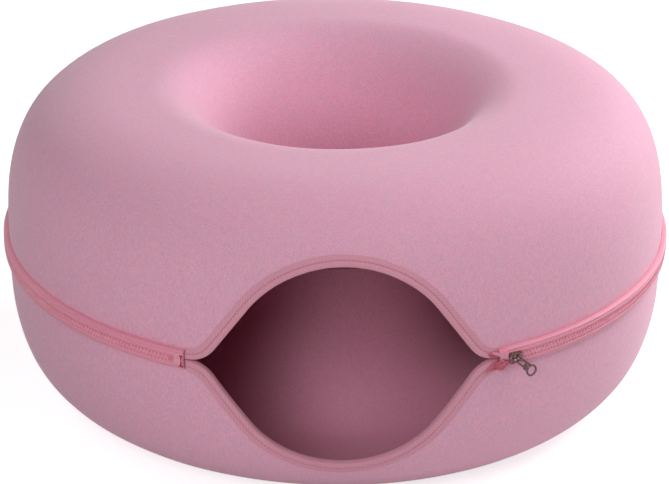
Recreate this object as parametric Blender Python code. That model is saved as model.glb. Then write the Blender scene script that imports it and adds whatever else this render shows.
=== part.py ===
"""Donut cat tunnel: two moulded felt half rings held together by two zips.

The top and bottom shells meet at mid height. One zip closes them round the
outside, from the right corner of the entrance round the back to its left
corner, and a second zip closes them round the waist of the centre hole. The
entrance is a lens cut through the front wall, edged with folded binding.

Metres, +Z up. The origin is on the floor, at the centre of the whole part.
The donut's own frame has its axis on Z and the joint of the shells at z = 0.
Turns about the axis are in radians, from the front (-Y) towards the right (+X).
"""

import math
from dataclasses import dataclass

import bmesh
import bpy
import numpy as np
from mathutils import Vector

# Felt shells
SHELL_RADIUS = 0.2958
SHELL_HEIGHT = 0.280
CREST_RADIUS = 0.172
CREST_FLAT_WIDTH = 0.010
WAIST_RADIUS = 0.0915
FELT_THICKNESS = 0.004
SEAM_GAP = 0.001
OUTER_FLANK_POWER = 3.08
INNER_FLANK_POWER = 2.14
SHELL_TURN_STEPS = 56
OUTER_PROFILE_STEPS = 9
INNER_PROFILE_STEPS = 7
CURVE_SAMPLES = 400

# Entrance, measured along the felt from the joint of the shells
ENTRANCE_TURN = math.radians(1.4)
ENTRANCE_HALF_WIDTH = 0.132
ENTRANCE_RISE = 0.093
ENTRANCE_DROP = 0.089
ENTRANCE_TOP_RADIUS = 0.098
ENTRANCE_FOOT_RADIUS = 0.030
ENTRANCE_FILLET_LIMIT_SHARE = 0.98
TOP_ARC_STEPS = 9
FLANK_STEPS = 4
FOOT_ARC_STEPS = 6
CUT_OVERRUN = 0.015

# Entrance binding and its thread
BINDING_WIDTH = 0.0105
BINDING_THICKNESS = 0.0010
BINDING_STITCH_INSET = 0.0055
THREAD_RADIUS = 0.00035

# Gaps between pieces
CLEARANCE = 0.0004
THREAD_CLEARANCE = 0.0003

# Zip tapes and teeth, as heights off the felt and distances from the joint
CHAIN_STANDOFF = 0.0038
TEETH_THICKNESS = 0.0024
TEETH_HALF_WIDTH = 0.0037
CHAIN_CORE_HALF_GAP = 0.0009
TAPE_THICKNESS = 0.0008
UPPER_TAPE_WIDTH = 0.0092
LOWER_TAPE_WIDTH = 0.0078
TAPE_SHOULDER = 0.0070
TAPE_LANDING = 0.0080
TAPE_SEAT_GAP = 0.0003
ZIP_END_GAP = 0.0005
OUTER_ZIP_STEPS = 82
INNER_ZIP_STEPS = 46

# Zip ends
TOP_STOP_LENGTH = 0.0032
TOP_STOP_INSET = 0.0010
PIN_LENGTH = 0.0075
PIN_INSET = 0.0020
PIN_REACH = 0.0005
BOX_WALL = 0.0005
BOX_REACH = 0.0020
ZIP_END_STEPS = 2

# Corner threads
TACK_BAR_WIDTH = 0.0011
TACK_KNOT_WIDTH = 0.0024
TACK_KNOT_START = 0.0046
TACK_REACH = 0.0066
TACK_THICKNESS = 0.0006
TACK_INSET = 0.0004
CORNER_STITCH_LENGTH = 0.0090
CORNER_STITCH_LOW = 0.0015
CORNER_STITCH_HIGH = 0.0085

# Sliders
SLIDER_LENGTH = 0.0124
SLIDER_PARKED_GAP = 0.0078
SLIDER_PLATE = 0.0010
SLIDER_SHOULDER = 0.0054
SLIDER_TAIL = 0.0049
SLIDER_BACK_HALF_WIDTH = 0.0048
SLIDER_FLANGE = 0.0008
SLIDER_FLANGE_DEPTH = 0.0008
SLIDER_NECK_HALF_WIDTH = 0.0005
SLIDER_NECK_LENGTH = 0.0042
SLIDER_SHOULDER_SHARES = (0.0, 0.1, 0.35, 0.7, 1.0)
SLIDER_WIDTH_SHARES = (0.55, 1.0, 1.0, 0.4, 0.0)

# Slider crown, lock spring and pull tab
CROWN_HALF_WIDTH = 0.0008
CROWN_FOOT_START = 0.0036
CROWN_TIP = 0.0016
CROWN_HEIGHT = 0.0030
CROWN_THICKNESS = 0.0008
CROWN_EDGE = 0.0007
SPRING_THICKNESS = 0.0003
SPRING_HALF_WIDTH = 0.0006
TAB_THICKNESS = 0.0011
TAB_DROOP = math.radians(45.0)
TAB_HALF_WIDTH = 0.0030
TAB_BAR = 0.0005
TAB_WINDOW_LENGTH = 0.0094
TAB_WINDOW_HALF_WIDTH = 0.00195
TAB_NECK_HALF_WIDTH = 0.0033
TAB_RING_CENTRE = 0.0206
TAB_RING_RADIUS = 0.0052
TAB_HOLE_RADIUS = 0.0039
TAB_RING_STEPS = 16

# Inner zip: its two ends face each other at the front of the waist
INNER_ZIP_END_SPAN = 0.010

HALF_HEIGHT = SHELL_HEIGHT / 2
OUTER_CREST = CREST_RADIUS + CREST_FLAT_WIDTH / 2
INNER_CREST = CREST_RADIUS - CREST_FLAT_WIDTH / 2
HALF_SEAM = SEAM_GAP / 2
CHAIN_TOP = CHAIN_STANDOFF + TEETH_THICKNESS / 2
CHAIN_BACK = CHAIN_STANDOFF - TEETH_THICKNESS / 2
TAPE_TOP = CHAIN_STANDOFF + TAPE_THICKNESS / 2
TAPE_BACK = CHAIN_STANDOFF - TAPE_THICKNESS / 2
BINDING_TOP = CLEARANCE + BINDING_THICKNESS
SLIDER_FACE = CHAIN_TOP + CLEARANCE
SLIDER_TOP = SLIDER_FACE + SLIDER_PLATE
CROWN_BASE = SLIDER_TOP + THREAD_CLEARANCE
CROWN_ROOF = CROWN_BASE + CROWN_HEIGHT - CROWN_THICKNESS
PIVOT_HEIGHT = (CROWN_BASE + SPRING_THICKNESS + CROWN_ROOF) / 2


@dataclass(frozen=True)
class Curve:
    """A quarter of the shell's section: distances out, up and along, and tilts."""

    out: np.ndarray
    up: np.ndarray
    tilt: np.ndarray
    arc: np.ndarray

    def at(self, distance):
        """Out, up and tilt at a distance along the felt from the joint."""
        return tuple(float(np.interp(distance, self.arc, row)) for row in (self.out, self.up, self.tilt))

    def stations(self, first, count):
        """Distances from the first one to the crest, closer where the felt bends."""
        bend = self.arc / self.arc[-1] + self.tilt / self.tilt[-1]
        return np.interp(np.linspace(np.interp(first, self.arc, bend), bend[-1], count + 1), bend, self.arc)


@dataclass(frozen=True)
class ZipRun:
    """One zip: the felt face that it stands on and the turns it covers."""

    name: str
    face_radius: float
    facing: int
    start: float
    end: float
    steps: int

    def turn(self, distance):
        """The turn that a distance along the zip makes about the axis."""
        return distance / self.face_radius

    def point(self, turn, out, up):
        """A point at a turn, a height off the felt and a height over the joint."""
        radius = self.face_radius + self.facing * out
        return Vector((radius * math.sin(turn), -radius * math.cos(turn), up))


def quarter_curve(reach, power):
    """The superellipse from the joint (arc 0) up to the crest of the shell."""
    angle = np.linspace(0, math.pi / 2, CURVE_SAMPLES)
    out = reach * np.cos(angle) ** (2 / power)
    up = HALF_HEIGHT * np.sin(angle) ** (2 / power)
    rise = (up / HALF_HEIGHT) ** (power - 1) / HALF_HEIGHT
    run = (out / reach) ** (power - 1) / reach
    steps = np.hypot(np.diff(out), np.diff(up))
    return Curve(out, up, np.arctan2(rise, run), np.concatenate(([0], np.cumsum(steps))))


OUTER_CURVE = quarter_curve(SHELL_RADIUS - OUTER_CREST, OUTER_FLANK_POWER)
INNER_CURVE = quarter_curve(INNER_CREST - WAIST_RADIUS, INNER_FLANK_POWER)


def facet_sag():
    """How far the flat facets of a shell lie inside its true outer curve."""
    turned = SHELL_RADIUS * (1 - math.cos(math.pi / SHELL_TURN_STEPS))
    stations = OUTER_CURVE.stations(HALF_SEAM, OUTER_PROFILE_STEPS)
    sags = []
    for low, high in zip(stations, stations[1:]):
        (out_a, up_a, _), (out_m, up_m, _), (out_b, up_b, _) = (
            OUTER_CURVE.at(arc) for arc in (low, (low + high) / 2, high))
        chord = math.hypot(out_b - out_a, up_b - up_a)
        area = (out_b - out_a) * (up_m - up_a) - (up_b - up_a) * (out_m - out_a)
        sags.append(abs(area) / chord)
    return turned + max(sags)


def make_material(name, colour, roughness, metallic=0.0):
    """A Principled material of one colour."""
    material = bpy.data.materials.new(name)
    material.use_nodes = True
    shader = material.node_tree.nodes["Principled BSDF"]
    shader.inputs["Base Color"].default_value = (*colour, 1.0)
    shader.inputs["Roughness"].default_value = roughness
    shader.inputs["Metallic"].default_value = metallic
    return material


def make_object(name, mesh_builder, material, parent=None):
    """Turn a bmesh into a named object with its faces pointing out."""
    bmesh.ops.recalc_face_normals(mesh_builder, faces=mesh_builder.faces)
    mesh = bpy.data.meshes.new(name)
    mesh_builder.to_mesh(mesh)
    mesh_builder.free()
    mesh.materials.append(material)
    mesh.shade_smooth()
    mesh.set_sharp_from_angle(angle=math.radians(35))
    thing = bpy.data.objects.new(name, mesh)
    bpy.context.scene.collection.objects.link(thing)
    thing.parent = parent
    return thing


def make_empty(name, place, parent=None, turn=(0, 0, 0)):
    """An empty that carries other objects."""
    empty = bpy.data.objects.new(name, None)
    bpy.context.scene.collection.objects.link(empty)
    empty.location = place
    empty.rotation_euler = turn
    empty.parent = parent
    return empty


def hide_cutter(cutter):
    """Keep an operand of a Boolean out of the model."""
    cutter.hide_render = True
    cutter.display_type = "WIRE"


def add_boolean(thing, operand, operation):
    """Cut an object by another, or join the other to it."""
    hide_cutter(operand)
    modifier = thing.modifiers.new(operation.lower(), "BOOLEAN")
    modifier.operation = operation
    modifier.solver = "EXACT"
    modifier.object = operand


def loft(rings, start_cap=None, end_cap=None):
    """A closed skin over a row of rings; a cap is flat, or a fan to one point."""
    builder = bmesh.new()
    loops = [[builder.verts.new(point) for point in ring] for ring in rings]
    count = len(loops[0])
    for near, far in zip(loops, loops[1:]):
        for i in range(count):
            j = (i + 1) % count
            builder.faces.new((near[i], near[j], far[j], far[i]))
    for loop, centre in ((loops[0], start_cap), (loops[-1], end_cap)):
        if centre is None:
            builder.faces.new(loop)
            continue
        hub = builder.verts.new(centre)
        for i in range(count):
            builder.faces.new((loop[i], loop[(i + 1) % count], hub))
    return builder


def spin_section(points, turn, steps, full=False):
    """Turn a closed section about the donut's axis."""
    builder = bmesh.new()
    verts = [builder.verts.new(point) for point in points]
    if full:
        for i, vert in enumerate(verts):
            builder.edges.new((vert, verts[(i + 1) % len(verts)]))
        swept = list(builder.edges)
    else:
        swept = [builder.faces.new(verts)]
    bmesh.ops.spin(builder, geom=swept, cent=(0, 0, 0), axis=(0, 0, 1), angle=turn,
                   steps=steps, use_merge=full)
    return builder


def extrude_outline(points, depth):
    """A prism on a flat outline."""
    builder = bmesh.new()
    face = builder.faces.new([builder.verts.new(point) for point in points])
    grown = bmesh.ops.extrude_face_region(builder, geom=[face])
    moved = [item for item in grown["geom"] if isinstance(item, bmesh.types.BMVert)]
    bmesh.ops.translate(builder, verts=moved, vec=depth)
    return builder


def shell_section(side):
    """The closed section of one shell; side is +1 for the top and -1 for the bottom."""
    stations = []
    for arc in OUTER_CURVE.stations(HALF_SEAM, OUTER_PROFILE_STEPS):
        out, up, tilt = OUTER_CURVE.at(arc)
        stations.append((OUTER_CREST + out, up, tilt))
    for arc in INNER_CURVE.stations(HALF_SEAM, INNER_PROFILE_STEPS)[::-1]:
        out, up, tilt = INNER_CURVE.at(arc)
        stations.append((INNER_CREST - out, up, math.pi - tilt))
    skin = [(radius, up) for radius, up, tilt in stations]
    lining = [(radius - FELT_THICKNESS * math.cos(tilt), up - FELT_THICKNESS * math.sin(tilt))
              for radius, up, tilt in stations]
    return [Vector((0, -radius, side * up)) for radius, up in skin + lining[::-1]]


def half_entrance(height):
    """One half of the entrance's edge, from its middle out to the corner.

    Each item is a distance along the joint, a distance up the felt, and the
    direction into the felt as an angle off straight up.
    """
    rise = height - HALF_SEAM
    limit = ENTRANCE_FILLET_LIMIT_SHARE * (ENTRANCE_HALF_WIDTH ** 2 + rise ** 2) / (2 * rise)
    trim = min(1, limit / (ENTRANCE_TOP_RADIUS + ENTRANCE_FOOT_RADIUS))
    top, foot = ENTRANCE_TOP_RADIUS * trim, ENTRANCE_FOOT_RADIUS * trim
    both = top + foot
    reach = math.hypot(ENTRANCE_HALF_WIDTH, both - rise)
    flank = math.asin(both / reach) - math.atan2(both - rise, ENTRANCE_HALF_WIDTH)
    straight = ENTRANCE_HALF_WIDTH * math.cos(flank) - (both - rise) * math.sin(flank)

    points = []
    for i in range(TOP_ARC_STEPS + 1):
        lean = flank * i / TOP_ARC_STEPS
        points.append((top * math.sin(lean), height - top * (1 - math.cos(lean)), lean))
    along, up, _ = points[-1]
    for i in range(1, FLANK_STEPS + 1):
        walked = straight * i / FLANK_STEPS
        points.append((along + walked * math.cos(flank), up - walked * math.sin(flank), flank))
    along, up, _ = points[-1]
    for i in range(1, FOOT_ARC_STEPS + 1):
        lean = flank * (1 - i / FOOT_ARC_STEPS)
        points.append((along + foot * (math.sin(flank) - math.sin(lean)),
                       up + foot * (math.cos(flank) - math.cos(lean)), lean))
    return points


def entrance_edge(height, inset):
    """The whole edge from the left corner to the right one, moved into the felt."""
    right = [(along + inset * math.sin(lean), up + inset * math.cos(lean))
             for along, up, lean in half_entrance(height)]
    left = [(-along, up) for along, up in right[:0:-1]]
    return left + right


def felt_point(along, arc, out, side):
    """A point off the outer felt, by its place along the joint and up the flank."""
    reach, up, tilt = OUTER_CURVE.at(max(arc, 0))
    radius = OUTER_CREST + reach + out * math.cos(tilt)
    height = up + min(arc, 0) + out * math.sin(tilt)
    turn = ENTRANCE_TURN + along / SHELL_RADIUS
    return Vector((radius * math.sin(turn), -radius * math.cos(turn), side * height))


def entrance_cutter(name, height, side, material, parent):
    """A plug through the front wall, as wide as the opening in the felt."""
    felt_edge = entrance_edge(height, BINDING_THICKNESS + CLEARANCE)
    overrun = ENTRANCE_HALF_WIDTH + CLEARANCE
    outline = [(-overrun, -CUT_OVERRUN), (-overrun, felt_edge[0][1]), *felt_edge,
               (overrun, felt_edge[-1][1]), (overrun, -CUT_OVERRUN)]
    depths = (-FELT_THICKNESS - CUT_OVERRUN, CUT_OVERRUN)
    rings = [[felt_point(along, arc, out, side) for along, arc in outline] for out in depths]
    hubs = [felt_point(0, 0, out, side) for out in depths]
    return make_object(name, loft(rings, *hubs), material, parent)


def build_shell(name, height, side, material, parent):
    """One moulded felt half ring with its half of the entrance cut out."""
    section = shell_section(side)
    shell = make_object(name, spin_section(section, 2 * math.pi, SHELL_TURN_STEPS, True), material, parent)
    cutter = entrance_cutter(f"{name}_cutter", height, side, material, parent)
    add_boolean(shell, cutter, "DIFFERENCE")
    return shell


def build_binding(name, height, side, material, parent):
    """Woven tape folded over the cut edge of the felt, outside and inside."""
    back_gap = CLEARANCE + facet_sag()
    back = -(FELT_THICKNESS + back_gap)
    fold = BINDING_THICKNESS
    section = [(BINDING_WIDTH, BINDING_TOP), (fold, BINDING_TOP), (0, CLEARANCE), (0, back),
               (fold, back - fold), (BINDING_WIDTH, back - fold), (BINDING_WIDTH, back),
               (fold, back), (fold, CLEARANCE), (BINDING_WIDTH, CLEARANCE)]
    columns = [[(along, arc, out) for along, arc in entrance_edge(height, inset)]
               for inset, out in section]
    rings = [[felt_point(*corner, side) for corner in ring] for ring in zip(*columns)]
    return make_object(name, loft(rings), material, parent)


def cut_short(path, limit):
    """A path of places along the joint, ended where it reaches a limit."""
    kept = [place for place in path if place[0] < limit]
    (along_a, arc_a), (along_b, arc_b) = kept[-1], path[len(kept)]
    share = (limit - along_a) / (along_b - along_a)
    return kept + [(limit, arc_a + share * (arc_b - arc_a))]


def build_binding_thread(name, height, side, material, parent):
    """The line of sewing thread along the middle of the binding."""
    base = BINDING_TOP + THREAD_CLEARANCE + THREAD_RADIUS
    limit = ENTRANCE_HALF_WIDTH - CORNER_STITCH_LENGTH - CLEARANCE
    path = cut_short(entrance_edge(height, BINDING_STITCH_INSET), limit)
    rings = []
    for i, (along, arc) in enumerate(path):
        before, after = path[max(i - 1, 0)], path[min(i + 1, len(path) - 1)]
        heading = math.atan2(after[1] - before[1], after[0] - before[0])
        across, up = -THREAD_RADIUS * math.sin(heading), THREAD_RADIUS * math.cos(heading)
        corners = [(-across, -up, 0), (0, 0, THREAD_RADIUS), (across, up, 0), (0, 0, -THREAD_RADIUS)]
        rings.append([felt_point(along + x, arc + y, base + lift, side) for x, y, lift in corners])
    return make_object(name, loft(rings), material, parent)


def zip_band(run, section, first, last, steps):
    """A section of heights off the felt and over the joint, swept along a zip."""
    points = [run.point(first, out, up) for out, up in section]
    return spin_section(points, last - first, steps)


def build_tapes(run, material, top_parent, bottom_parent):
    """Both woven tapes; the lower one is turned under just below the teeth."""
    start = run.start + run.turn(ZIP_END_GAP)
    end = run.end - run.turn(ZIP_END_GAP)
    edge = TEETH_HALF_WIDTH + THREAD_CLEARANCE
    seat = TAPE_SEAT_GAP
    upper = [(TAPE_BACK, edge), (TAPE_BACK, TAPE_SHOULDER), (seat, TAPE_LANDING), (seat, UPPER_TAPE_WIDTH),
             (seat + TAPE_THICKNESS, UPPER_TAPE_WIDTH), (seat + TAPE_THICKNESS, TAPE_LANDING + TAPE_THICKNESS),
             (TAPE_TOP, TAPE_SHOULDER + TAPE_THICKNESS), (TAPE_TOP, edge)]
    hem = LOWER_TAPE_WIDTH - TAPE_THICKNESS
    lower = [(TAPE_BACK, -edge), (TAPE_BACK, -hem), (seat, -hem), (seat, -LOWER_TAPE_WIDTH),
             (TAPE_TOP, -LOWER_TAPE_WIDTH), (TAPE_TOP, -edge)]
    make_object(f"{run.name}_upper_tape", zip_band(run, upper, start, end, run.steps), material, top_parent)
    make_object(f"{run.name}_lower_tape", zip_band(run, lower, start, end, run.steps), material, bottom_parent)


def row_section(side):
    """The block that one row of teeth fills, beside the middle of the chain."""
    near, far = side * CHAIN_CORE_HALF_GAP, side * TEETH_HALF_WIDTH
    return [(CHAIN_BACK, near), (CHAIN_BACK, far), (CHAIN_TOP, far), (CHAIN_TOP, near)]


def teeth_span(run):
    """The turns between which a zip has teeth."""
    stop = TOP_STOP_INSET + TOP_STOP_LENGTH + THREAD_CLEARANCE
    ending = PIN_INSET + PIN_LENGTH + THREAD_CLEARANCE
    return run.start + run.turn(stop), run.end - run.turn(ending)


def build_teeth(run, material, top_parent, bottom_parent):
    """Both rows of moulded teeth, and the stop at the slider end of each."""
    first, last = teeth_span(run)
    stop_start = run.start + run.turn(TOP_STOP_INSET)
    stop_end = stop_start + run.turn(TOP_STOP_LENGTH)
    for word, side, parent in (("upper", 1, top_parent), ("lower", -1, bottom_parent)):
        section = row_section(side)
        row = zip_band(run, section, first, last, run.steps)
        make_object(f"{run.name}_{word}_teeth", row, material, parent)
        stop = zip_band(run, section, stop_start, stop_end, ZIP_END_STEPS)
        make_object(f"{run.name}_{word}_top_stop", stop, material, parent)


def build_pin_and_box(run, material, top_parent, bottom_parent):
    """The insertion pin on the upper tape, and the open box that it seats in."""
    last = run.end - run.turn(PIN_INSET)
    first = last - run.turn(PIN_LENGTH)
    mouth_back, mouth_front = CHAIN_BACK + BOX_WALL, CHAIN_TOP - BOX_WALL
    floor = -(PIN_REACH + THREAD_CLEARANCE)
    box = [(CHAIN_BACK, -TEETH_HALF_WIDTH), (CHAIN_TOP, -TEETH_HALF_WIDTH), (CHAIN_TOP, BOX_REACH),
           (mouth_front, BOX_REACH), (mouth_front, floor), (mouth_back, floor),
           (mouth_back, BOX_REACH), (CHAIN_BACK, BOX_REACH)]
    pin_back, pin_front = mouth_back + THREAD_CLEARANCE, mouth_front - THREAD_CLEARANCE
    pin = [(pin_back, -PIN_REACH), (pin_back, TEETH_HALF_WIDTH), (pin_front, TEETH_HALF_WIDTH),
           (pin_front, -PIN_REACH)]
    make_object(f"{run.name}_box", zip_band(run, box, first, last, ZIP_END_STEPS), material, bottom_parent)
    make_object(f"{run.name}_pin", zip_band(run, pin, first, last, ZIP_END_STEPS), material, top_parent)


def build_left_tack(run, name, side, material, parent):
    """The bar of thread and its knot across the left end of one tape."""
    middle = run.end - run.turn(ZIP_END_GAP + TACK_INSET + TACK_KNOT_WIDTH / 2)
    bar, knot = run.turn(TACK_BAR_WIDTH / 2), run.turn(TACK_KNOT_WIDTH / 2)
    start = THREAD_CLEARANCE
    outline = [(-bar, start), (bar, start), (bar, TACK_KNOT_START), (knot, TACK_KNOT_START),
               (knot, TACK_REACH), (-knot, TACK_REACH), (-knot, TACK_KNOT_START), (-bar, TACK_KNOT_START)]
    base = CHAIN_TOP + THREAD_CLEARANCE
    rings = [[run.point(middle + turn, out, side * up) for turn, up in outline]
             for out in (base, base + TACK_THICKNESS)]
    return make_object(name, loft(rings), material, parent)


def build_right_stitching(name, side, material, parent):
    """The patch of close stitches that fastens the end of the binding."""
    inner = ENTRANCE_HALF_WIDTH - CORNER_STITCH_LENGTH
    base = BINDING_TOP + THREAD_CLEARANCE
    outline = [(inner, CORNER_STITCH_LOW), (ENTRANCE_HALF_WIDTH, CORNER_STITCH_LOW),
               (ENTRANCE_HALF_WIDTH, CORNER_STITCH_HIGH), (inner, CORNER_STITCH_HIGH)]
    rings = [[felt_point(along, arc, out, side) for along, arc in outline]
             for out in (base, base + TACK_THICKNESS)]
    return make_object(name, loft(rings), material, parent)


def slider_plate(run, face, outward, shoulder, tail):
    """A curved plate of the slider, with a flange down each side of its channel."""
    rings = []
    far = face + outward * SLIDER_PLATE
    lip = face - outward * SLIDER_FLANGE_DEPTH
    for place, fullness in zip(SLIDER_SHOULDER_SHARES, SLIDER_WIDTH_SHARES):
        half = tail + (shoulder - tail) * fullness
        turn = run.turn(SLIDER_LENGTH * (place - 1 / 2))
        groove = half - SLIDER_FLANGE
        section = [(far, -half), (far, half), (lip, half), (lip, groove),
                   (face, groove), (face, -groove), (lip, -groove), (lip, -half)]
        rings.append([run.point(turn, out, up) for out, up in section])
    return loft(rings)


def slider_neck(run):
    """The wedge between the plates that parts the two rows at the mouth."""
    front = -SLIDER_LENGTH / 2
    back_face = CHAIN_BACK - CLEARANCE
    buried = SLIDER_PLATE / 2
    half = SLIDER_NECK_HALF_WIDTH
    section = [(back_face - buried, -half), (back_face - buried, half),
               (SLIDER_FACE + buried, half), (SLIDER_FACE + buried, -half)]
    turns = [run.turn(front + buried), run.turn(front + buried + SLIDER_NECK_LENGTH)]
    return loft([[run.point(turn, out, up) for out, up in section] for turn in turns])


def build_slider_body(run, material, carrier):
    """Front plate, back plate and neck, joined to one casting round the chain."""
    front = slider_plate(run, SLIDER_FACE, 1, SLIDER_SHOULDER, SLIDER_TAIL)
    back = slider_plate(run, CHAIN_BACK - CLEARANCE, -1, SLIDER_BACK_HALF_WIDTH, SLIDER_BACK_HALF_WIDTH)
    body = make_object(f"{run.name}_slider_body", front, material, carrier)
    back_plate = make_object(f"{run.name}_slider_back_cutter", back, material, carrier)
    neck = make_object(f"{run.name}_slider_neck_cutter", slider_neck(run), material, carrier)
    add_boolean(neck, back_plate, "UNION")
    add_boolean(body, neck, "UNION")
    return body


def build_crown(run, material, carrier):
    """The hook over the slider that holds the pull, on a foot at the mouth end."""
    top = CROWN_ROOF + CROWN_THICKNESS
    foot = -CROWN_FOOT_START
    inside = foot + CROWN_THICKNESS
    outline = [(foot, CROWN_BASE), (foot, top - CROWN_EDGE), (foot + CROWN_EDGE, top),
               (CROWN_TIP - CROWN_EDGE, top), (CROWN_TIP, top - CROWN_EDGE), (CROWN_TIP, CROWN_ROOF),
               (inside, CROWN_ROOF), (inside, CROWN_BASE)]
    points = [run.point(0, out, -CROWN_HALF_WIDTH) + Vector((along, 0, 0)) for along, out in outline]
    prism = extrude_outline(points, Vector((0, 0, 2 * CROWN_HALF_WIDTH)))
    return make_object(f"{run.name}_slider_crown", prism, material, carrier)


def build_lock_spring(run, material, carrier):
    """The leaf spring on the slider, under the crown, that locks the chain."""
    start = THREAD_CLEARANCE + CROWN_THICKNESS - CROWN_FOOT_START
    outline = [(start, CROWN_BASE), (CROWN_TIP, CROWN_BASE), (CROWN_TIP, CROWN_BASE + SPRING_THICKNESS),
               (start, CROWN_BASE + SPRING_THICKNESS)]
    points = [run.point(0, out, -SPRING_HALF_WIDTH) + Vector((along, 0, 0)) for along, out in outline]
    prism = extrude_outline(points, Vector((0, 0, 2 * SPRING_HALF_WIDTH)))
    return make_object(f"{run.name}_slider_spring", prism, material, carrier)


def tab_outline():
    """Half of the pull's outline, from the bar at the crown to the end of the ring."""
    lead = math.asin(TAB_NECK_HALF_WIDTH / TAB_RING_RADIUS)
    shoulder = TAB_BAR + TAB_WINDOW_LENGTH
    points = [(-TAB_BAR, TAB_HALF_WIDTH), (shoulder, TAB_HALF_WIDTH), (shoulder + TAB_BAR + TAB_HALF_WIDTH / 2,
                                                                       TAB_NECK_HALF_WIDTH)]
    for i in range(TAB_RING_STEPS // 2):
        angle = math.pi - lead - (math.pi - lead) * i / (TAB_RING_STEPS // 2)
        points.append((TAB_RING_CENTRE + TAB_RING_RADIUS * math.cos(angle), TAB_RING_RADIUS * math.sin(angle)))
    return points


def flat_prism(outline, thickness):
    """A prism on an outline in the pull's own plane, centred on that plane."""
    points = [Vector((along, -thickness / 2, across)) for along, across in outline]
    return extrude_outline(points, Vector((0, thickness, 0)))


def build_pull(run, material, carrier):
    """The pull tab: a window round the crown, a neck and a round ring."""
    half = tab_outline()
    tip = (TAB_RING_CENTRE + TAB_RING_RADIUS, 0)
    outline = half + [tip] + [(along, -across) for along, across in half[::-1]]
    pull = make_object(f"{run.name}_pull_tab", flat_prism(outline, TAB_THICKNESS), material, carrier)
    window = [(TAB_BAR, -TAB_WINDOW_HALF_WIDTH), (TAB_BAR + TAB_WINDOW_LENGTH, -TAB_WINDOW_HALF_WIDTH),
              (TAB_BAR + TAB_WINDOW_LENGTH, TAB_WINDOW_HALF_WIDTH), (TAB_BAR, TAB_WINDOW_HALF_WIDTH)]
    ring = [(TAB_RING_CENTRE + TAB_HOLE_RADIUS * math.cos(2 * math.pi * i / TAB_RING_STEPS),
             TAB_HOLE_RADIUS * math.sin(2 * math.pi * i / TAB_RING_STEPS)) for i in range(TAB_RING_STEPS)]
    for word, hole in (("window", window), ("ring", ring)):
        plug = flat_prism(hole, TAB_THICKNESS + 2 * TAB_BAR)
        cutter = make_object(f"{run.name}_pull_{word}_cutter", plug, material, pull)
        add_boolean(pull, cutter, "DIFFERENCE")
    pull.location = run.point(0, PIVOT_HEIGHT, 0)
    pull.rotation_euler = (0, TAB_DROOP, 0)
    return pull


def build_slider(run, material, donut_axis):
    """A slider parked at the closed end of its zip, with all that it carries."""
    parked = run.start + run.turn(SLIDER_PARKED_GAP + SLIDER_LENGTH / 2)
    carrier = make_empty(f"{run.name}_slider_axis", (0, 0, 0), donut_axis, (0, 0, parked))
    build_slider_body(run, material, carrier)
    build_crown(run, material, carrier)
    build_lock_spring(run, material, carrier)
    build_pull(run, material, carrier)


def front_reach():
    """How far the front of the part stands out from the donut's axis."""
    edges = entrance_edge(ENTRANCE_RISE, 0) + entrance_edge(ENTRANCE_DROP, 0)
    return max(-felt_point(along, arc, BINDING_TOP, 1).y for along, arc in edges)


def build_part():
    """Build the whole tunnel."""
    for thing in list(bpy.data.objects):
        bpy.data.objects.remove(thing)

    felt = make_material("pink_felt", (0.60, 0.31, 0.42), 0.95)
    weave = make_material("pink_weave", (0.62, 0.30, 0.39), 0.85)
    zip_weave = make_material("zip_tape", (0.68, 0.30, 0.38), 0.8)
    moulding = make_material("zip_teeth", (0.62, 0.27, 0.35), 0.45)
    thread = make_material("dark_red_thread", (0.36, 0.06, 0.09), 0.7)
    gunmetal = make_material("gunmetal", (0.16, 0.13, 0.12), 0.35, 1.0)

    band_radius = SHELL_RADIUS + CHAIN_TOP
    axis_y = (front_reach() - band_radius) / 2
    donut = make_empty("donut_axis", (0, axis_y, HALF_HEIGHT))
    top = make_empty("top_half", (0, 0, 0), donut)
    bottom = make_empty("bottom_half", (0, 0, 0), donut)

    build_shell("top_shell", ENTRANCE_RISE, 1, felt, top)
    build_shell("bottom_shell", ENTRANCE_DROP, -1, felt, bottom)
    for word, height, side, parent in (("upper", ENTRANCE_RISE, 1, top), ("lower", ENTRANCE_DROP, -1, bottom)):
        build_binding(f"{word}_entrance_binding", height, side, weave, parent)
        build_binding_thread(f"{word}_binding_thread", height, side, thread, parent)
        build_right_stitching(f"right_corner_stitching_{word}", side, thread, parent)

    corner = ENTRANCE_HALF_WIDTH / SHELL_RADIUS
    outer = ZipRun("outer_zip", SHELL_RADIUS, 1, ENTRANCE_TURN + corner,
                   ENTRANCE_TURN - corner + 2 * math.pi, OUTER_ZIP_STEPS)
    end_turn = INNER_ZIP_END_SPAN / 2 / WAIST_RADIUS
    inner = ZipRun("inner_zip", WAIST_RADIUS, -1, end_turn, 2 * math.pi - end_turn, INNER_ZIP_STEPS)
    for run in (outer, inner):
        build_tapes(run, zip_weave, top, bottom)
        build_teeth(run, moulding, top, bottom)
        build_pin_and_box(run, moulding, top, bottom)
        build_slider(run, gunmetal, donut)
    build_left_tack(outer, "left_corner_tack_upper", 1, thread, top)
    build_left_tack(outer, "left_corner_tack_lower", -1, thread, bottom)


build_part()
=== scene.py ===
"""The looks of a donut cat tunnel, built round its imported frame.

Two moulded felt half rings are zipped together round the outside and round the
centre hole. A lens-shaped entrance is cut through the front wall and edged with
folded woven binding. Each soft or plain solid of the frame is replaced by a
finer piece that fills the same place and rides on the same body.

Most pieces are modelled flat and then laid on the donut. In the flat, x runs
along the joint, an edge or a zip, y runs across, and z stands off the felt.
"""

import logging
import math
import random
from collections.abc import Callable, Sequence
from dataclasses import dataclass
from enum import Enum
from functools import cached_property

import bmesh
import bpy
import numpy as np
from mathutils import Matrix, Vector, noise


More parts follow.
